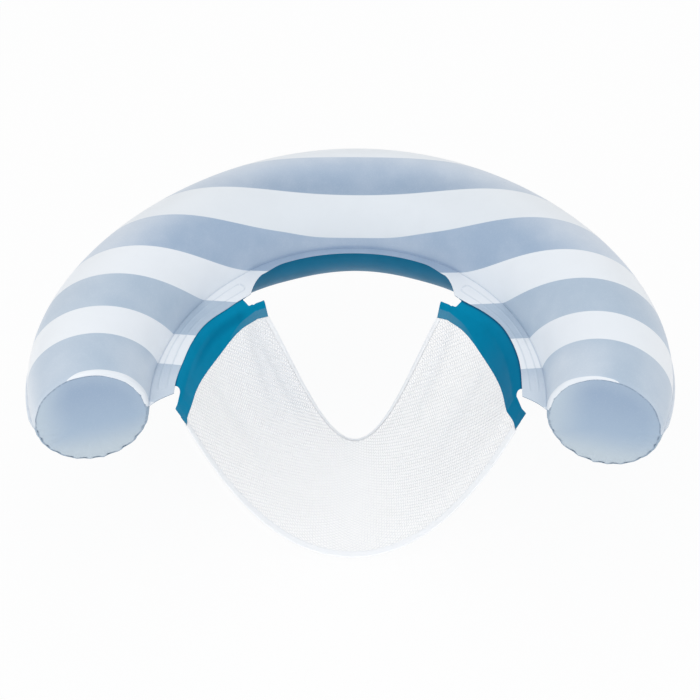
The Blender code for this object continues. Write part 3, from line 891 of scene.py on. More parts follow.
@dataclass
class AirRing:
    """The inflated ring: its two skins with the seam fin, the flange and the embossed webs.

    Waves are given as strength, count and phase. The left side's value comes first in web_sets.
    """

    plan: RingPlan
    sheet: float = 0.0004
    row_gap: float = 0.0040
    cuff_run: float = 0.045
    cuff_rows: int = 34
    cuff_crowding: float = 1.6
    cuff_lap: Pair = (0.0085, 0.0055)
    tube_columns: int = 46
    web_columns: int = 34
    under_columns: int = 12
    pucker_count: int = 25
    pucker_depth: float = 0.0021
    pucker_reach: float = 0.0085
    pucker_least: float = 0.12
    pucker_share: float = 0.55
    pucker_sways: tuple[Triple, Triple] = ((1.7, 2, 0.6), (0.9, 5, 1.1))
    finer_puckers: Triple = (0.35, 47, 1.7)
    uneven_puckers: Triple = (0.25, 3, 0.8)
    long_folds: Triple = (0.16, 11, 0.7)
    curl: Pair = (0.0026, 0.0030)
    curl_run: float = 0.0065
    curl_turn: float = math.radians(70)
    seam_height: float = 0.00035
    seam_fin: float = 0.004
    fin_shares: Triple = (1.0, 0.5, 0.02)
    fin_flats: Triple = (1.0, 0.5, 0.0)
    fin_sways: Triple = (1.0, 0.4, 0.0)
    fin_wave: float = 0.0005
    fin_pitch: float = 0.021
    fin_drift: Pair = (2.2, 9)
    fin_pale: float = 2.6
    fin_taper: float = 0.022
    fin_end: float = 0.2
    haze_turn: float = 0.17
    haze_run: Pair = (0.42, 0.62)
    web_turn: float = 1.2
    bead_height: float = 0.0007
    bead_width: float = 0.0019
    bead_fade: float = 0.02
    bead_line: float = 0.6
    bead_start: Pair = (-0.12, -0.06)
    seam_band: float = 0.0018
    weld_shown: float = 1.95
    bead_shown: float = 0.95
    crease_share: float = 0.8
    weld_from: float = 0.29
    web_sets: Pair = (0.0043, -0.0020)
    set_runs: tuple[Pair, Pair] = ((0.470, 0.560), (0.930, 0.790))
    loop_middle: float = 0.51
    loop_half: float = 0.185
    loop_shares: Pair = (0.4215, 0.940)
    print_tilt: float = -0.0063
    print_bend: Pair = (-0.4148, 1.6684)
    print_curl: Pair = (0.556, -2.1238)
    print_least: float = 0.3
    web_slant: float = 0.30
    cap_slant: float = 0.009
    cap_out: Pair = (0.388, 0.424)
    cap_ahead: Pair = (-0.150, -0.175)
    print_dip: float = 0.0064
    dip_spread: Triple = (0.119, 0.026, 0.085)
    back_slack: float = 0.0056
    slack_turn: float = math.radians(140)
    slack_spread: Pair = (math.radians(62), 0.17)
    valve_flat: Pair = (0.032, 0.015)
    valve_reach: float = 0.02
    valve_sink: float = 0.0003
    disc_columns: int = 120
    disc_rows: int = 16
    disc_lap: Triple = (0.004, 0.009, 0.0145)
    disc_gap: float = 0.0007
    disc_sway: Pair = (0.0016, 3)

    def stations(self) -> Array:
        """Places of the skins' rows, closer together at the cuffs."""
        start = self.plan.arm - self.cuff_run
        middle = np.linspace(-start, start, int(2 * start / self.row_gap))
        left = (1 - np.linspace(0, 1, self.cuff_rows)) ** self.cuff_crowding
        cuff = self.plan.arm - self.cuff_run * left
        return np.concatenate([-cuff[::-1], middle[1:-1], cuff])

    def pucker(self, round_tube: Array) -> Array:
        """The cuff's gathered waves round the tube.

        Args:
            round_tube: Angle round the tube, 0 at the outer seam and a quarter turn at the top.

        Returns:
            The waves, from about -1 to 1, stronger on the tube's lower half.
        """
        sway = sum(ripple(round_tube, *sway) for sway in self.pucker_sways)
        wave = ripple(round_tube, 1.0, self.pucker_count, sway)
        share, count, push = self.finer_puckers
        finer = ripple(round_tube, share, count, push * sway)
        strength = between(self.pucker_least, 1.0, ease(0.5 - 0.9 * np.sin(round_tube)))
        uneven = 1 - self.uneven_puckers[0] + ripple(round_tube, *self.uneven_puckers)
        return (wave + finer) * strength * uneven

    def cuff_shift(self, along: Array, round_tube: Array) -> Array:
        """How far the tube's wall moves outwards near an arm's end.

        Args:
            along: Places along the ring.
            round_tube: Angles round the tube.

        Returns:
            The distances.
        """
        inside = np.maximum(self.plan.arm - np.abs(along), 0)
        gathers = np.exp(-inside / self.pucker_reach) * self.pucker(round_tube)
        folds = np.exp(-inside / (3 * self.pucker_reach)) * ripple(round_tube, *self.long_folds)
        rolled = np.clip(1 - inside / self.curl_run, 0, 1)
        inner = ramp(np.abs(round_tube), self.curl_turn, 2 * self.curl_turn) * (round_tube > 0)
        curl = self.curl[0] + self.curl[1] * inner
        lift = self.pucker_depth * (self.pucker_share * gathers + folds)
        return lift - curl * (1 - np.sqrt(1 - rolled**2))

    def slack(self, along: Array, round_tube: Array) -> Array:
        """How far the underside lies inside the round tube, at the back behind the seat."""
        across, run = self.slack_spread
        turned = near(np.abs(round_tube), self.slack_turn, across) * (round_tube < 0)
        return self.back_slack * turned * near(along, 0, run)

    def print_place(self, flat_x: Array, flat_y: Array) -> Array:
        """The place of a point across the print's bands.

        Args:
            flat_x: Its place on the flat sheet, left to right.
            flat_y: Its place on the flat sheet, front to back.

        Returns:
            The place to which the print's band edges refer.
        """
        x2, x4 = flat_x**2, flat_x**4
        top = flat_y - self.print_tilt * flat_x - self.print_bend[0] * x2 - self.print_curl[0] * x4
        low = 1 + self.print_bend[1] * x2 + self.print_curl[1] * x4
        place = top / np.maximum(low, self.print_least)
        beyond = ramp(np.abs(flat_x), *self.cap_out) * ramp(place, *self.cap_ahead)
        middle, across, along = self.dip_spread
        dipped = np.exp(-((flat_x / along) ** 4) - ((place - middle) / across) ** 4)
        return place + self.cap_slant * beyond + self.print_dip * dipped

    def bead(self, along: Array, inward: Array) -> Array:
        """Height share of the embossed weld loop and of the tube's weld line on the web.

        Args:
            along: Places along the ring.
            inward: Distances from the tube's inner weld.

        Returns:
            Heights from 0 to 1.
        """
        low, high = (share * self.plan.arm for share in self.loop_shares)
        s, web = np.abs(along), self.plan.web(along)
        half = self.loop_half * web
        beyond = s - np.clip(s, low + half, high - half)
        away = np.hypot(beyond, inward - self.loop_middle * web)
        line = near(inward, self.seam_band, self.bead_width) * ramp(s - low, *self.bead_start)
        line = line * self.bead_line
        return np.maximum(near(away, half, self.bead_width), line)

    def web_set(self, along: Array) -> Array:
        """How much wider each side's web is than the plan's, none at the web's corners."""
        back, front = (ramp(np.abs(along) / self.plan.arm, *run) for run in self.set_runs)
        return np.where(along < 0, *self.web_sets) * back * front

    def skin_values(
        self, along: Array, angles: Array, inward: Array, bead: Array
    ) -> dict[str, Array]:
        """Values that a skin's finish reads.

        Args:
            along: Places of its rows, as a column.
            angles: Angles of the tube's columns.
            inward: Distances of the web's columns from the tube's inner weld.
            bead: Height shares of the web's embossing.

        Returns:
            The named values.
        """
        centre, outward, _ = self.plan.frame(along)
        radius, s, fin = self.plan.radius(along), np.abs(along), np.ones((len(along), 3))
        quarter = radius * math.pi / 2
        fin_flat = quarter + self.seam_fin * np.array(self.fin_flats)
        tube_flat = radius * (math.pi / 2 - angles)
        out = np.concatenate([fin_flat, tube_flat, -quarter - inward], axis=1)
        flat = centre + outward * out[..., None]
        place = self.print_place(flat[..., 0], flat[..., 1])
        place[:, -inward.shape[1] :] += self.web_slant * inward
        creased = near(inward, self.seam_band, self.crease_share * self.bead_width)
        shown = np.maximum(
            self.bead_shown * bead, self.weld_shown * creased * (s > self.weld_from)
        )
        weld = np.concatenate([fin * self.fin_pale, np.zeros_like(tube_flat), shown], axis=1)
        # On the right arm's front half the turn is raised. This moves where the print's paling and
        # painted light fall round the tube.
        turned = self.haze_turn * ramp(s, *self.haze_run) * (centre[..., 0] > 0)
        web_turn = np.full_like(inward, self.web_turn)
        turn = np.concatenate([fin * 0, angles / math.pi + turned, web_turn], axis=1)
        lap = ramp(self.plan.arm - s, *self.cuff_lap)
        return {"print_place": place, "weld": weld, "lap": lap, "turn": turn}

    def skin_grid(self, layer: Layer, web_columns: int) -> tuple[Array, dict[str, Array]]:
        """Mid-surface points of one skin and the values that its finish reads.

        Args:
            layer: Upper or lower skin.
            web_columns: Columns across the web.

        Returns:
            The grid of points, and the named values.
        """
        along = self.stations()[:, None]
        inside, radius, up = self.plan.arm - np.abs(along), self.plan.radius(along), layer.value
        angles = np.linspace(0, math.pi, self.tube_columns + 1)[None, 1:-1]
        shift = self.cuff_shift(along, up * angles) - self.slack(along, up * angles)
        tube_reach = radius + shift
        outer, inner = (
            radius + self.cuff_shift(along, np.full_like(along, at)) for at in (0, math.pi)
        )
        drift = ripple(along, *self.fin_drift)
        wave = ripple(along, self.fin_wave, TURN / self.fin_pitch, drift)
        fin_reach = self.seam_fin * between(self.fin_end, 1.0, ease(inside / self.fin_taper))
        inward = np.linspace(0, 1, web_columns + 1) * (self.plan.web(along) + self.web_set(along))
        bead = self.bead(along, inward) * ease(inside / self.bead_fade)
        height = up * self.seam_height
        sways = np.array(self.fin_sways)
        fin = self.plan.place(
            along, outer + fin_reach * np.array(self.fin_shares), height + wave * sways
        )
        tube = self.plan.place(along, tube_reach * np.cos(angles), up * tube_reach * np.sin(angles))
        web = self.plan.place(along, -(inner + inward), height + self.bead_height * bead)
        grid = np.concatenate([fin, tube, web], axis=1)
        return grid, self.skin_values(along, angles, inward, bead)

    def seat_valves(self, grid: Array, poses: Sequence[Matrix]) -> Array:
        """Flattens the skin round each valve's flange.

        Args:
            grid: Points of the upper skin.
            poses: The valves' frames.

        Returns:
            The points with a flat round each valve.
        """
        for pose in poses:
            out = np.array(pose.col[2][:3])
            away = grid - np.array(pose.translation)
            height = away @ out
            reach = np.linalg.norm(away - height[..., None] * out, axis=-1)
            share = ramp(reach, *self.valve_flat) * (np.abs(height) < self.valve_reach)
            sink = np.minimum(-self.valve_sink - height, 0) * share
            grid = grid + out * sink[..., None]
        return grid

    def build(self, poses: Sequence[Matrix], printed: Finish, teal: Finish) -> None:
        """Makes both skins and dresses them.

        Args:
            poses: The valves' frames.
            printed: Finish of the upper skin.
            teal: Finish of the lower skin.
        """
        grid, values = self.skin_grid(Layer.UPPER, self.web_columns)
        upper = sheet_object("ring_top", self.seat_valves(grid, poses), self.sheet, values)
        nodes = [f"{side.word}_top_skin" for side in Side]
        place_piece(upper, FLOAT_BODY, printed, nodes)
        grid, values = self.skin_grid(Layer.LOWER, self.under_columns)
        lower = sheet_object("ring_underside", grid, self.sheet, {"lap": values["lap"]})
        nodes = [f"{side.word}_bottom_skin" for side in Side]
        place_piece(lower, FLOAT_BODY, teal, nodes)

    def build_disc(self, finish: Finish) -> None:
        """Makes the inner disc that parts the air chambers, with its welded rim.

        Args:
            finish: Its finish.
        """
        angle = circle(self.disc_columns)
        lap = np.array(self.disc_lap)
        share = np.concatenate([np.linspace(0, 1, self.disc_rows), np.ones(len(lap))])[:, None]
        along = np.concatenate([np.zeros(self.disc_rows), lap])[:, None] + self.sheet
        reach = (self.plan.radius(along) - self.slack(along, signed(angle)) - self.disc_gap) * share
        sway = ripple(angle, *self.disc_sway) * (1 - share) * share
        grid = self.plan.place(along + sway, reach * np.cos(angle), reach * np.sin(angle))
        disc = sheet_object("chamber_disc", grid, self.sheet, closed=True)
        place_piece(disc, FLOAT_BODY, finish, ["chamber_bulkhead"])


@dataclass
class EndCap:
    """The welded disc that closes one arm."""

    ring: AirRing
    side: Side
    columns: int = 200
    rows: int = 34
    row_crowding: float = 0.75
    bulge: float = 0.0092
    bulge_flatness: float = 2.6
    set_back: float = 0.0006
    lap: float = 0.0110
    lap_shares: Triple = (0.25, 0.6, 1.0)
    inset: float = 0.00075
    crease_depth: float = 0.0009
    crease_reach: float = 0.012
    crease_from: float = 0.25
    faded: float = 0.75
    faded_run: Pair = (0.2, 1.0)

    def build(self, finish: Finish) -> None:
        """Makes the disc with its gathered rim and the lap inside the tube.

        Args:
            finish: Its finish.
        """
        plan, angle = self.ring.plan, circle(self.columns)
        turn = signed(angle)
        share = (np.linspace(0, 1, self.rows) ** self.row_crowding)[:, None]
        radius = float(plan.radius(np.array(plan.arm)))
        rim = self.side.value * np.array(plan.arm - self.set_back)
        edge = self.ring.cuff_shift(rim, turn) + radius - self.inset
        crease = self.ring.pucker(turn) * np.exp(-(1 - share) * radius / self.crease_reach)
        crease = crease * ease(share / self.crease_from) * share
        centre, outward, forward = plan.frame(rim)
        spoke = np.cos(angle)[..., None] * outward + np.sin(angle)[..., None] * Z_AXIS
        lift = self.bulge * (1 - share**self.bulge_flatness) + self.crease_depth * crease
        disc = centre + spoke * (edge * share)[..., None] + forward * lift[..., None]
        inside = self.set_back + self.lap * np.array(self.lap_shares)[:, None]
        back = self.side.value * (plan.arm - inside)
        reach = self.ring.cuff_shift(back, turn) + plan.radius(back) - self.inset
        laps = plan.place(back, reach * np.cos(angle), reach * np.sin(angle))
        grid = np.concatenate([disc, laps])
        shares = np.concatenate([share, np.ones((len(laps), 1))])
        # Painted light: paler towards the left of the disc.
        faded = ramp((centre[0] - grid[..., 0]) / radius, *self.faded_run) * self.faded
        values, word = {"reach": shares, "faded": faded}, self.side.word
        cap = sheet_object(f"{word}_cap_disc", grid, self.ring.sheet, values, closed=True)
        place_piece(cap, FLOAT_BODY, finish, [f"{word}_end_cap"])


# The seat


@dataclass
class StripShape:
    """Where the band that hangs from one web runs.

    A notch gives its length, its depth and the height of the ear's edge beyond it. The left side's
    value comes first in front_sets.
    """

    ring: AirRing
    side: Side
    sheet: float = 0.0005
    gap: float = 0.0003
    start_share: float = 0.415
    corner_share: float = 0.4565
    front_share: float = 0.965
    front_step: float = 0.027
    overrun: float = 0.014
    width: float = 0.045
    belly: float = 0.015
    belly_shares: Triple = (0.14, 0.40, 0.86)
    weld: float = 0.012
    back_set: float = 0.010
    front_sets: Pair = (0.0028, 0.0130)
    bend: float = 0.020
    droop: float = math.radians(64)
    ear_droop: float = math.radians(78)
    front_ear_slope: float = math.radians(69)
    back_notch: Triple = (0.0120, 0.0166, 0.0140)
    front_notch: Triple = (0.0250, 0.0095, 0.0065)
    lap: float = 0.012
    backing: float = 0.016
    net: float = 0.0008
    thread: float = 0.0004

    def __post_init__(self) -> None:
        """Works out the places that the shares stand for."""
        arm = self.ring.plan.arm
        self.start, self.end = self.start_share * arm, arm + self.overrun
        self.corner, self.front = self.corner_share * arm, self.front_share * arm
        self.front_corner = self.front - self.front_step
        self.net_drop = self.sheet / 2 + self.gap + self.net / 2
        self.backing_drop = self.net_drop + self.net / 2 + self.gap + self.sheet / 2
        self.height = -(self.gap / 2 + self.ring.sheet + self.gap + self.sheet / 2)

    def top_edge(self, along: Array) -> Array:
        """How far inside the tube's weld the band leaves the web.

        Args:
            along: Places along the ring.

        Returns:
            The distances.
        """
        web = self.ring.plan.web
        back = (self.corner - along) / (self.corner - self.start)
        front = (along - self.front) / (self.end - self.front)
        behind = web(np.array(self.corner)) + self.back_set * back * ease(back * 3)
        ahead = web(np.array(self.front)) - self.side.pick(self.front_sets) * front
        middle = web(np.clip(along, self.corner, self.front))
        return np.where(along < self.corner, behind, np.where(along > self.front, ahead, middle))

    def run_share(self, along: Array) -> Array:
        """Places along the band, from 0 at its back end to 1 at its front one."""
        return (along - self.start) / (self.end - self.start)

    def full_width(self, along: Array) -> Array:
        """Width of the band below the web: narrow at the ears and fuller between them."""
        low, top, high = self.belly_shares
        share = self.run_share(along)
        return self.width + self.belly * ramp(share, low, top) * ramp(share, high, top)

    def bent(self, along: Array, across: Array) -> Array:
        """Where the band bends off the web.

        Args:
            along: Places along the ring.
            across: Distances from the web's edge down the band.

        Returns:
            How far it has come inwards and down, and its slope.
        """
        middle = (self.start + self.end) / 2
        share = np.abs(along - middle) / (self.end - middle)
        droop = between(self.droop, self.ear_droop, share**3)
        bend = self.bend / droop
        slope = np.clip(across / bend, 0.0, droop)
        straight = np.maximum(across - self.bend, 0.0)
        inward = np.minimum(across, 0.0) + bend * np.sin(slope) + straight * np.cos(slope)
        down = bend * (1 - np.cos(slope)) + straight * np.sin(slope)
        return np.stack([inward, down, slope])

    def point(self, along: Array, across: Array, drop: Array | float) -> Array:
        """Points on the band.

        Args:
            along: Places along the ring.
            across: Distances from the web's edge down the band.
            drop: Depths below the band's mid-surface.

        Returns:
            The points.
        """
        along, across, drop = np.broadcast_arrays(along, across, drop)
        ear, angle = self.front_notch[2], self.front_ear_slope
        edge_inward, edge_down, _ = self.bent(along, np.full_like(across, ear))
        run = across - ear
        flat_inward = edge_inward + run * math.cos(angle)
        flat_down = edge_down + run * math.sin(angle)
        flat = np.stack([flat_inward, flat_down, np.full_like(run, angle)])
        share = ramp(along, self.front_corner, self.end) * (run > 0)
        inward, down, slope = between(self.bent(along, across), flat, share)
        inward = inward - drop * np.sin(slope)
        down = down + drop * np.cos(slope)
        out = self.ring.plan.radius(along) + self.top_edge(along) + inward
        return self.ring.plan.place(self.side.value * along, -out, self.height - down)


@dataclass
class SeatStrip:
    """The notched teal band of one side and the narrow backing under the net's edge.

    The left side's value comes first in squareness.
    """

    shape: StripShape
    valley_depth: float
    dimmed: float
    edge_line: float
    row_gap: float = 0.0016
    sway_depth: float = 0.0005
    sway: Triple = (1.4, 6.3, 13)
    sway_slant: float = 40
    still: tuple[Pair, Pair] = ((0.12, 0.20), (0.84, 0.76))
    valley_line: Pair = (0.024, 0.006)
    valley_width: float = 0.0085
    valley_run: tuple[Pair, Pair] = ((0.10, 0.18), (0.84, 0.39))
    valley_shade: float = 200.0
    line_shade: float = 0.9
    dimmed_run: float = 0.7
    notch_steps: int = 22
    overrun: float = 0.006
    lapped_width: float = 0.0168
    lapped_share: float = 0.30
    lapped_hollow: float = 0.6
    lapped_edge: float = 0.0010
    lapped_blur: float = 0.0012
    lapped_run: Pair = (0.05, 0.32)
    lapped_end: float = 0.1
    backing_trim: float = 0.0024
    backing_inset: float = 0.04
    backing_lap: float = 0.3
    squareness: Pair = (0.42, 0.62)

    def along(self) -> Array:
        """Places of the band's rows, as a column."""
        count = int((self.shape.end - self.shape.start) / self.row_gap)
        return np.linspace(self.shape.start, self.shape.end, count)[:, None]

    def across(self, along: Array) -> Array:
        """Places across the band at each of its rows: weld, bend, free part and lap.

        Args:
            along: The rows' places, as a column.

        Returns:
            The places, a row for each.
        """
        shape = self.shape
        lap = shape.full_width(along) - shape.lap
        weld = np.linspace(-shape.weld, 0, 7)[:-1] + 0 * along
        bend = np.linspace(0, shape.bend, 15)[:-1] + 0 * along
        free = between(shape.bend, lap, np.linspace(0, 1, 15)[:-1])
        return np.concatenate([weld, bend, free, lap + np.linspace(0, shape.lap, 11)], axis=1)

    def valley(self, along: Array, across: Array) -> Array:
        """The soft fold that runs down the band from its back notch, from 0 to 1."""
        share = self.shape.run_share(along)
        line = self.valley_line[0] + self.valley_line[1] * np.sin(share * math.pi)
        back, front = (ramp(share, *run) for run in self.valley_run)
        return np.exp(-(((across - line) / self.valley_width) ** 2)) * back * front

    def relief(self, along: Array, across: Array) -> Array:
        """Height of the band's buckles, still at its notches, its weld and the net's lap.

        Args:
            along: Places along the ring.
            across: Places across the band.

        Returns:
            The heights.
        """
        lap = self.shape.full_width(along) - self.shape.lap
        free = np.sin(np.clip(across / lap, 0, 1) * math.pi) ** 2
        share = self.shape.run_share(along)
        strength, count, waves = self.sway
        wave = np.sin(share * waves + ripple(share, strength, count) + across * self.sway_slant)
        back, front = (ramp(share, *run) for run in self.still)
        height = self.sway_depth * wave - self.valley_depth * self.valley(along, across)
        return height * free * back * front

    def notch(self, corner: float, beyond: float) -> Piece:
        """An upright prism that takes a notch and the ear's outer side out of the band.

        Args:
            corner: Place of the web's corner.
            beyond: Place of the band's end.

        Returns:
            The cutter.
        """
        shape, front = self.shape, beyond > corner
        far = beyond + math.copysign(self.overrun, beyond - corner)
        outer = -shape.weld - self.overrun
        reach, depth, ear = shape.front_notch if front else shape.back_notch
        turn = np.linspace(0, math.pi / 2 if front else math.pi, self.notch_steps)[1:]
        cosine, sine = np.cos(turn), np.maximum(np.sin(turn), 0.0)
        if front:
            away, down = reach * (1 - cosine), depth * sine
        else:
            power = shape.side.pick(self.squareness)
            square = np.copysign(np.abs(cosine) ** power, cosine)
            away, down = reach * sine**power, depth * (1 - square) / 2
        along = np.array([corner, corner, *(corner + away), beyond, far, far])
        across = np.array([outer, 0.0, *down, ear, ear, outer])
        low = shape.point(along, across, 0.0)
        low[:, 2] = -shape.width
        build = bmesh.new()
        foot = build.faces.new([build.verts.new(point) for point in low])
        raised = bmesh.ops.extrude_face_region(build, geom=[foot])["geom"]
        top = [item for item in raised if isinstance(item, bmesh.types.BMVert)]
        bmesh.ops.translate(build, verts=top, vec=(0, 0, 2 * shape.width))
        bmesh.ops.recalc_face_normals(build, faces=build.faces)
        return built_object("notch", build)

    def values(self, along: Array, across: Array) -> dict[str, Array]:
        """Values that the band's finish reads.

        Args:
            along: Places of its rows, as a column.
            across: Places across the band.

        Returns:
            Where the net shows through it and where shade is painted on it.
        """
        share = self.shape.run_share(along)
        taper = np.clip(1 - share / self.lapped_share, 0, 1) ** self.lapped_hollow
        edge = self.shape.full_width(along) - self.lapped_width * taper - self.lapped_edge
        kept = between(1.0, self.lapped_end, ramp(share, *self.lapped_run))
        # Painted shade: a shadow line along the weld edge, the soft fold down the band, and more
        # towards the band's front end.
        line = near(across, self.shape.ring.web_set(along), self.edge_line) * self.line_shade
        valley = self.valley(along, across) * self.valley_depth * self.valley_shade
        dimmed = self.dimmed * ease(share / self.dimmed_run)
        fold = np.maximum(np.maximum(line, valley), dimmed)
        return {"lap": ease((across - edge) / self.lapped_blur) * kept, "fold": fold}

    def build(self, finish: Finish) -> None:
        """Makes the band and its backing.

        Args:
            finish: The teal finish.
        """
        shape, word, along = self.shape, self.shape.side.word, self.along()
        across = self.across(along)
        grid = shape.point(along, across, -self.relief(along, across))
        values = self.values(along, across)
        strip = sheet_object(f"{word}_seat_band", grid, shape.sheet, values)
        for ends in ((shape.corner, shape.start), (shape.front_corner, shape.end)):
            combine(strip, self.notch(*ends), "DIFFERENCE")
        place_piece(strip, FLOAT_BODY, finish, [f"{word}_seat_strip"])

        first, last = shape.start + self.backing_trim, shape.end - self.backing_trim
        inner = np.linspace(first, last, len(along))[:, None]
        across = shape.full_width(inner) - shape.backing * np.linspace(1, self.backing_inset, 11)
        grid = shape.point(inner, across, shape.backing_drop)
        lap = {"lap": np.array(self.backing_lap)}
        backing = sheet_object(f"{word}_band_backing", grid, shape.sheet, lap)
        place_piece(backing, FLOAT_BODY, finish, [f"{word}_strip_backing"])


@dataclass(frozen=True)
class Fold:
    """A soft fold of the seat that starts at a band and runs down the flank."""

    side: Side
    high: float
    low: float
    reach: float
    width: float
    depth: float


@dataclass
class Sling:
    """The net seat between the two bands, with the taped hems on its free edges.

    Shares u run along the bands, from 0 at the seat's back edge to 1 at its front one. Places q
    run across the seat, from -1 at the left band to 1 at the right one. Values given for the back
    and the front come as a pair.
    """

    strips: tuple[StripShape, StripShape]
    drops: Pair = (0.309, 0.3345)
    setbacks: Pair = (0.016, 0.004)
    fullness: Pair = (0.4, -0.2)
    belly: float = 0.004
    ribs: int = 130
    segments: int = 180
    crowding: float = 0.85
    lap_columns: int = 6
    flat_back: float = 0.655
    flat_front: float = 0.835
    flat_depth: float = 0.272
    fold_start: float = 0.35
    fold_fade: Pair = (9, 1.6)
    edge_still: float = 0.06
    corner_across: Pair = (0.25, 0.85)
    corner_along: Pair = (0.62, 0.07)
    corner_gather: float = 0.9
    fold_gather: float = 0.55
    most_gather: float = 1.3
    tape: float = 0.0005
    tape_run: float = 0.0105
    tape_gap: float = 0.0003
    tape_swell: float = 0.00025
    tape_bulge: float = 1.3
    tape_reach: float = 0.998
    tape_rows: int = 221
    tape_legs: int = 8
    tape_turns: int = 7
    folds: tuple[Fold, ...] = (
        Fold(Side.LEFT, 0.12, 0.34, 0.50, 0.070, 0.0026),
        Fold(Side.LEFT, 0.10, 0.16, 0.62, 0.060, 0.0030),
        Fold(Side.LEFT, 0.55, 0.62, 0.55, 0.110, 0.0014),
        Fold(Side.RIGHT, 0.10, 0.24, 0.60, 0.080, 0.0022),
        Fold(Side.RIGHT, 0.45, 0.55, 0.55, 0.110, 0.0014),
    )

    def along(self, u: Array) -> Array:
        """Places along the ring of shares along the bands."""
        return between(self.strips[1].start, self.strips[1].end, u)

    def hanging(self, u: Array, q: Array) -> Array:
        """Points of the hanging net between the bands' lower edges.

        Args:
            u: Shares along the bands.
            q: Places across the seat.

        Returns:
            The points.
        """
        u, q = np.broadcast_arrays(u, q)
        shape, along = self.strips[1], self.along(u)
        ends = shape.point(np.array([shape.start, shape.end]), shape.width, shape.net_drop)
        left, right = (
            strip.point(along, strip.full_width(along), strip.net_drop) for strip in self.strips
        )
        edge = between(right, left * np.array([-1.0, 1.0, 1.0]), ((1 - q) / 2)[..., None])
        share = (edge[..., 1] - ends[0, 1]) / (ends[1, 1] - ends[0, 1])
        drop = between(*self.drops, share) + self.belly * np.sin(math.pi * share)
        rise = q**2 * (1 + between(*self.fullness, share) * (1 - q**2))
        y = edge[..., 1] - between(*self.setbacks, share) * (1 - q**2)
        return np.stack([edge[..., 0] * q, y, between(-drop, edge[..., 2], rise)], axis=-1)

    def fold_height(self, u: Array, q: Array) -> Array:
        """How far the folds lift the net off its plain form.

        Args:
            u: Shares along the bands.
            q: Places across the seat.

        Returns:
            The heights.
        """
        lift = np.zeros(np.broadcast_shapes(u.shape, q.shape))
        for fold in self.folds:
            down = (1 - q * fold.side.value) / fold.reach
            held = np.clip(down, 0, 1)
            width = fold.width * between(self.fold_start, 1.0, held)
            ridge = np.exp(-(((u - between(fold.high, fold.low, held)) / width) ** 2))
            window = ease(down * self.fold_fade[0]) * ease((1 - down) * self.fold_fade[1])
            lift = lift + fold.depth * ridge * window * (q * fold.side.value > 0)
        return lift * ease(u / self.edge_still) * ease((1 - u) / self.edge_still)

    def gather(self, u: Array, q: Array) -> Array:
        """How closely the net's threads lie: drawn together at the left back and in the folds.

        Args:
            u: Shares along the bands.
            q: Places across the hanging part.

        Returns:
            A value for each point of the whole net, from 0 for open threads.
        """
        corner = ramp(-q, *self.corner_across) * ramp(u, *self.corner_along)
        creased = self.fold_height(u, q) / max(fold.depth for fold in self.folds)
        gathered = self.corner_gather * corner + self.fold_gather * creased
        lap = self.lap_columns - 1
        return np.pad(np.clip(gathered, 0, self.most_gather), ((0, 0), (lap, lap)), "edge")

    def net_grid(self) -> tuple[Array, Array, Array]:
        """The net's mid-surface, with its shares along and across.

        Returns:
            The grid, and the u and q of its rows and hanging columns.
        """
        u = np.linspace(0, 1, self.ribs + 1)[:, None]
        even = np.linspace(-1, 1, self.segments + 1)
        q = (np.sign(even) * np.abs(even) ** self.crowding)[None, :]
        hang = self.hanging(u, q)
        normal = unit(np.cross(np.gradient(hang, axis=1), np.gradient(hang, axis=0)))
        hang = hang + normal * self.fold_height(u, q)[..., None]
        along, laps = self.along(u), []
        for shape in self.strips:
            inset = np.linspace(shape.lap, 0, self.lap_columns)[None, :-1]
            laps.append(shape.point(along, shape.full_width(along) - inset, shape.net_drop))
        return np.concatenate([laps[0], hang, laps[1][:, ::-1]], axis=1), u, q

    def build_net(self, finish: Finish) -> Piece:
        """Makes the net.

        Args:
            finish: Its finish.

        Returns:
            The net.
        """
        grid, u, q = self.net_grid()
        run = run_lengths(grid, axis=1)
        values = {
            "cloth_run": run - run[:, -1:] / 2,
            "cloth_fall": run_lengths(grid),
            "gather": self.gather(u, q),
        }
        net = sheet_object("seat_net", grid, self.strips[0].thread, values)
        place_piece(net, FLOAT_BODY, finish, ["mesh_seat"])
        return net

    def build_hem(self, name: str, edge: float, turn: float, finish: Finish) -> Piece:
        """Makes the tape folded over one free edge of the net.

        Args:
            name: Frame node that the tape stands for.
            edge: The edge's share along the bands.
            turn: Which way the net lies from there.
            finish: Its finish.

        Returns:
            The tape.
        """
        q = np.linspace(-self.tape_reach, self.tape_reach, self.tape_rows)[:, None]
        legs = np.linspace(1, 0, self.tape_legs)
        inset = turn * self.tape_run / (self.strips[0].end - self.strips[0].start)
        middle = [self.hanging(np.full_like(q, edge + inset * leg), q)[:, 0] for leg in legs]
        base = middle[-1]
        into = unit(middle[0] - base)
        normal = unit(np.cross(np.gradient(base, axis=0), into))
        offset = self.strips[0].net / 2 + self.tape_gap + self.tape / 2
        upper, lower = (
            [
                points + face * normal * (offset + self.tape_swell * math.sin(math.pi * leg))
                for points, leg in zip(middle, legs)
            ]
            for face in (1, -1)
        )
        nose = [
            base + offset * (normal * math.cos(at) - into * self.tape_bulge * math.sin(at))
            for at in np.linspace(0, math.pi, self.tape_turns)[1:-1]
        ]
        grid = np.stack([*upper, *nose, *lower[::-1]], axis=1)
        across = np.array([*(1 - legs), *np.ones(len(nose)), *(1 - legs[::-1])])
        values = {"tape_run": run_lengths(base)[:, None], "tape_across": across}
        tape = sheet_object(f"{name}_tape", grid, self.tape, values)
        place_piece(tape, FLOAT_BODY, finish, [name])
        return tape

    def build(self, net_finish: Finish, tape_finish: Finish) -> None:
        """Makes the net and its tapes.

        Args:
            net_finish: Finish of the net.
            tape_finish: Finish of the tapes.
        """
        net = self.build_net(net_finish)
        edges = (("back_hem", 0.0, 1.0), ("front_hem", 1.0, -1.0))
        tapes = [self.build_hem(*edge, tape_finish) for edge in edges]


# The valves


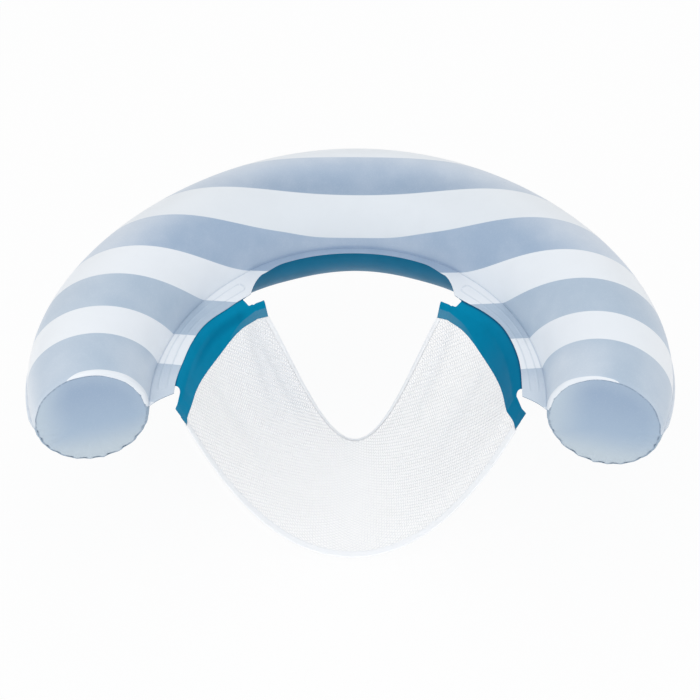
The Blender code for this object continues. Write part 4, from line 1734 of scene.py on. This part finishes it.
@dataclass(frozen=True)
class TurnedPart:
    """A valve's part: a profile of corners, each as radius and height, and any strap's box.

    A hollow part's profile is a closed loop round its bore.
    """

    name: str
    hollow: bool
    soften: float
    profile: tuple[Pair, ...]
    strap: tuple[Pair, Pair, Pair] | None = None


@dataclass
class AirValve:
    """One valve: flange, push-in stem, hinged plug and one-way flap, in its own frame."""

    side: Side
    segments: int = 56
    sharp: float = 0.5
    hinge_x: float = 0.0082
    hinge_height: float = 0.00365
    strap_soften: float = 0.0002
    parts: tuple[TurnedPart, ...] = (
        TurnedPart("flange", True, 0.00012, (
            (0.0049, 0.0003), (0.0125, 0.0003), (0.0125, 0.0006), (0.0105, 0.0011),
            (0.0073, 0.0011), (0.0067, 0.0020), (0.0049, 0.0020),
        )),
        TurnedPart("stem", True, 0.00018, (
            (0.0030, -0.0152), (0.0062, -0.0152), (0.0062, -0.0140), (0.0046, -0.0140),
            (0.0046, 0.0023), (0.0064, 0.0023), (0.0064, 0.0035), (0.0030, 0.0035),
        ), ((0.0055, 0.0082), (-0.002, 0.002), (0.0024, 0.0035))),
        TurnedPart("plug", False, 0.00012, (
            (0.0, 0.0047), (0.0040, 0.0048), (0.0052, 0.0050), (0.0064, 0.0048),
            (0.0064, 0.0038), (0.0028, 0.0038), (0.0028, 0.0026), (0.00255, 0.0022),
            (0.0018, -0.0002), (0.0, -0.0002),
        ), ((0.0052, 0.0082), (-0.002, 0.002), (0.0038, 0.0049))),
        TurnedPart("flap", False, 0.0001, (
            (0.0, -0.01535), (0.0042, -0.01535), (0.0042, -0.01585), (0.0, -0.01585),
        ), ((0.0030, 0.0059), (-0.002, 0.002), (-0.01582, -0.01537))),
    )

    def pose(self) -> Matrix:
        """The valve's frame, read from the record's joints.

        Returns:
            Origin at the plug's hinge line foot, +Z out of the skin and +X towards the hinge.
        """
        joints = {joint["name"]: joint for joint in FRAME["record"]["behaviour"]["joints"]}
        hinge = joints[f"{self.side.word}_plug_hinge"]
        out = Vector(joints[f"{self.side.word}_stem_slide"]["axis"]).normalized()
        turn = Vector(hinge["axis"]).normalized()
        up = turn.cross(out).normalized()
        foot = Vector(hinge["pos_m"]) - up * self.hinge_x - out * self.hinge_height
        return pose_of(up, turn, out, foot)

    def turned(self, part: TurnedPart) -> Piece:
        """Turns a part and softens its edges.

        Args:
            part: The part.

        Returns:
            The object, in the valve's own frame.
        """
        build = bmesh.new()
        rows = []
        for angle in np.linspace(0, TURN, self.segments, endpoint=False):
            x, y = math.cos(angle), math.sin(angle)
            rows.append([build.verts.new((r * x, r * y, z)) for r, z in part.profile])
        corners = len(part.profile)
        for row, following in zip(rows, rows[1:] + rows[:1]):
            for k in range(corners if part.hollow else corners - 1):
                after = (k + 1) % corners
                build.faces.new((row[k], row[after], following[after], following[k]))
        bmesh.ops.remove_doubles(build, verts=build.verts, dist=1e-7)
        bmesh.ops.recalc_face_normals(build, faces=build.faces)
        edges = [edge for edge in build.edges if len(edge.link_faces) == 2]
        edges = [edge for edge in edges if edge.calc_face_angle() > self.sharp]
        soften(build, edges, part.soften, 3)
        return cleaned(built_object(f"{self.side.word}_inlet_{part.name}", build))

    def strap(self, box: tuple[Pair, Pair, Pair]) -> Piece:
        """Makes a softened strap.

        Args:
            box: Its ends along each axis.

        Returns:
            The strap, in the valve's own frame.
        """
        build = bmesh.new()
        bmesh.ops.create_cube(build, size=1)
        for vert in build.verts:
            for k, ends in enumerate(box):
                vert.co[k] = ends[vert.co[k] > 0]
        soften(build, build.edges[:], self.strap_soften, 2)
        return cleaned(built_object("strap", build))

    def build(self, finish: Finish) -> None:
        """Makes the valve's four pieces.

        Args:
            finish: Their finish.
        """
        word, pose = self.side.word, self.pose()
        for part in self.parts:
            piece = self.turned(part)
            if part.strap:
                combine(piece, self.strap(part.strap), "UNION")
            piece.data.transform(pose)
            body = f"{word}_{part.name}" if part.strap else FLOAT_BODY
            place_piece(piece, body, finish, [f"{word}_valve_{part.name}"])


# The studio


@dataclass
class Studio:
    """The pale floor, the soft light and the camera at the photograph's viewing angle.

    A lamp has a name, a place, a size and a power.
    """

    camera_place: Triple = (0.0791, -1.7507, 1.4014)
    pitch: float = 0.7068
    yaw: float = -0.0478
    roll: float = -0.0237
    lens: float = 70.0
    sensor: float = 36.0
    floor_height: float = -0.345
    floor_size: float = 60.0
    floor_colours: tuple[Colour, Colour] = ((0.90, 0.90, 0.90), (0.86, 0.87, 0.88))
    floor_glow: float = 0.93
    sky: Colour = (0.98, 0.99, 1.0)
    sky_power: float = 0.80
    lamps: tuple[tuple[str, Triple, float, float], ...] = (
        ("key", (-0.8, -1.6, 2.4), 2.6, 13.5),
        ("fill", (1.8, -1.8, 1.4), 2.4, 6.5),
        ("back", (0.0, 2.4, 1.8), 2.4, 4.5),
        ("low", (-1.7, -1.7, 0.5), 1.6, 3.0),
    )
    aim: Triple = (0.0, 0.0, -0.1)
    seat_lamp: Triple = (0.0, -1.5, 1.5)
    seat_aim: Triple = (0.0, -0.20, -0.24)
    seat_lamp_size: float = 0.3
    seat_cone: float = math.radians(20)
    seat_power: float = 29.0

    def build_camera(self) -> None:
        """Places the camera."""
        level, yaw, roll = math.cos(self.pitch), self.yaw, self.roll
        ahead = Vector((level * math.sin(yaw), level * math.cos(yaw), -math.sin(self.pitch)))
        right = Vector((math.cos(yaw), -math.sin(yaw), 0))
        up = right.cross(ahead)
        rolled_right = right * math.cos(roll) + up * math.sin(roll)
        rolled_up = up * math.cos(roll) - right * math.sin(roll)
        data = bpy.data.cameras.new("view")
        data.lens, data.sensor_width = self.lens, self.sensor
        camera = link_object("view", data)
        camera.matrix_world = pose_of(rolled_right, rolled_up, -ahead, Vector(self.camera_place))
        bpy.context.scene.camera = camera

    def build_floor(self) -> None:
        """Lays a pale floor that shows white and keeps a soft shadow."""
        graph = Graph("studio_floor")
        rays = ("Is Camera Ray", "Is Glossy Ray", "Is Transmission Ray")
        camera, glossy, through = (graph.node("ShaderNodeLightPath", output=ray) for ray in rays)
        colour = graph.blend(graph.noise(0.4, 2.0, 0.5) * 0.2, *self.floor_colours)
        plain = graph.node("ShaderNodeBsdfDiffuse", None, {"Color": colour})
        glow = graph.node("ShaderNodeEmission", None, {"Color": WHITE, "Strength": 1.0})
        seen = camera.most(glossy).most(through) * self.floor_glow
        build = bmesh.new()
        bmesh.ops.create_grid(build, x_segments=8, y_segments=8, size=self.floor_size / 2)
        floor = built_object("floor", build)
        floor.location.z = self.floor_height
        floor.data.materials.append(graph.done(graph.mixed(seen, plain, glow)))

    def build_world(self) -> None:
        """Sets an even pale surround."""
        graph = Graph("surround", bpy.data.worlds)
        kind = "ShaderNodeBackground"
        light = graph.node(kind, None, {"Color": self.sky, "Strength": self.sky_power})
        shown = graph.node(kind, None, {"Color": WHITE, "Strength": 1.0})
        seen = graph.node("ShaderNodeLightPath", output="Is Camera Ray")
        world = graph.done(graph.mixed(seen, light, shown), "ShaderNodeOutputWorld")
        bpy.context.scene.world = world

    def hang_lamp(self, kind: str, name: str, place: Triple, aim: Triple, power: float) -> Any:
        """Hangs a lamp and turns it to what it lights.

        Args:
            kind: The lamp's type.
            name: Its name.
            place: Where it hangs.
            aim: What it lights.
            power: Its power.

        Returns:
            The lamp's settings.
        """
        data = bpy.data.lights.new(name, kind)
        data.energy = power
        turn = (Vector(aim) - Vector(place)).to_track_quat("-Z", "Y").to_matrix().to_4x4()
        link_object(name, data).matrix_world = Matrix.Translation(place) @ turn
        return data

    def build_lamps(self) -> None:
        """Hangs the large soft lamps, and the hooded one that lights the seat."""
        for name, place, size, power in self.lamps:
            soft = self.hang_lamp("AREA", name, place, self.aim, power)
            soft.shape, soft.size = "DISK", size
        hooded = self.hang_lamp("SPOT", "seat", self.seat_lamp, self.seat_aim, self.seat_power)
        hooded.shadow_soft_size = self.seat_lamp_size
        hooded.spot_size, hooded.spot_blend = self.seat_cone, 1.0

    def build(self) -> None:
        """Sets up the studio."""
        bpy.context.scene.view_settings.view_transform = "Standard"
        self.build_camera()
        self.build_floor()
        self.build_world()
        self.build_lamps()


def main() -> None:
    """Builds the studio and every sub-assembly of the chair in order."""
    logging.basicConfig(level=logging.INFO, format="%(message)s")
    Studio().build()
    # The second colour is the painted shade of the bands.
    cuff, painted_shade_colour = tint(176, 192, 208), tint(0, 74, 112)
    under = TealVinyl("teal_underside", tint(4, 112, 150), cuff, painted_shade_colour, 0.11).material()
    band = TealVinyl("teal_band", tint(8, 132, 171), tint(80, 138, 168), painted_shade_colour, 0.03).material()
    clear, cap = ClearVinyl().material(), CapVinyl().material()
    ring = AirRing(RingPlan())
    valves = [AirValve(side) for side in Side]
    ring.build([valve.pose() for valve in valves], PrintedVinyl().material(), under)
    for side in Side:
        EndCap(ring, side).build(cap)
    strips = (
        SeatStrip(StripShape(ring, Side.LEFT), valley_depth=0.0016, dimmed=0.08, edge_line=0.0026),
        SeatStrip(StripShape(ring, Side.RIGHT), valley_depth=0.0004, dimmed=0.42, edge_line=0.0056),
    )
    for strip in strips:
        strip.build(band)
    Sling(tuple(strip.shape for strip in strips)).build(SeatNet().material(), HemTape().material())
    for valve in valves:
        valve.build(clear)
    ring.build_disc(clear)


if __name__ == "__main__":
    main()
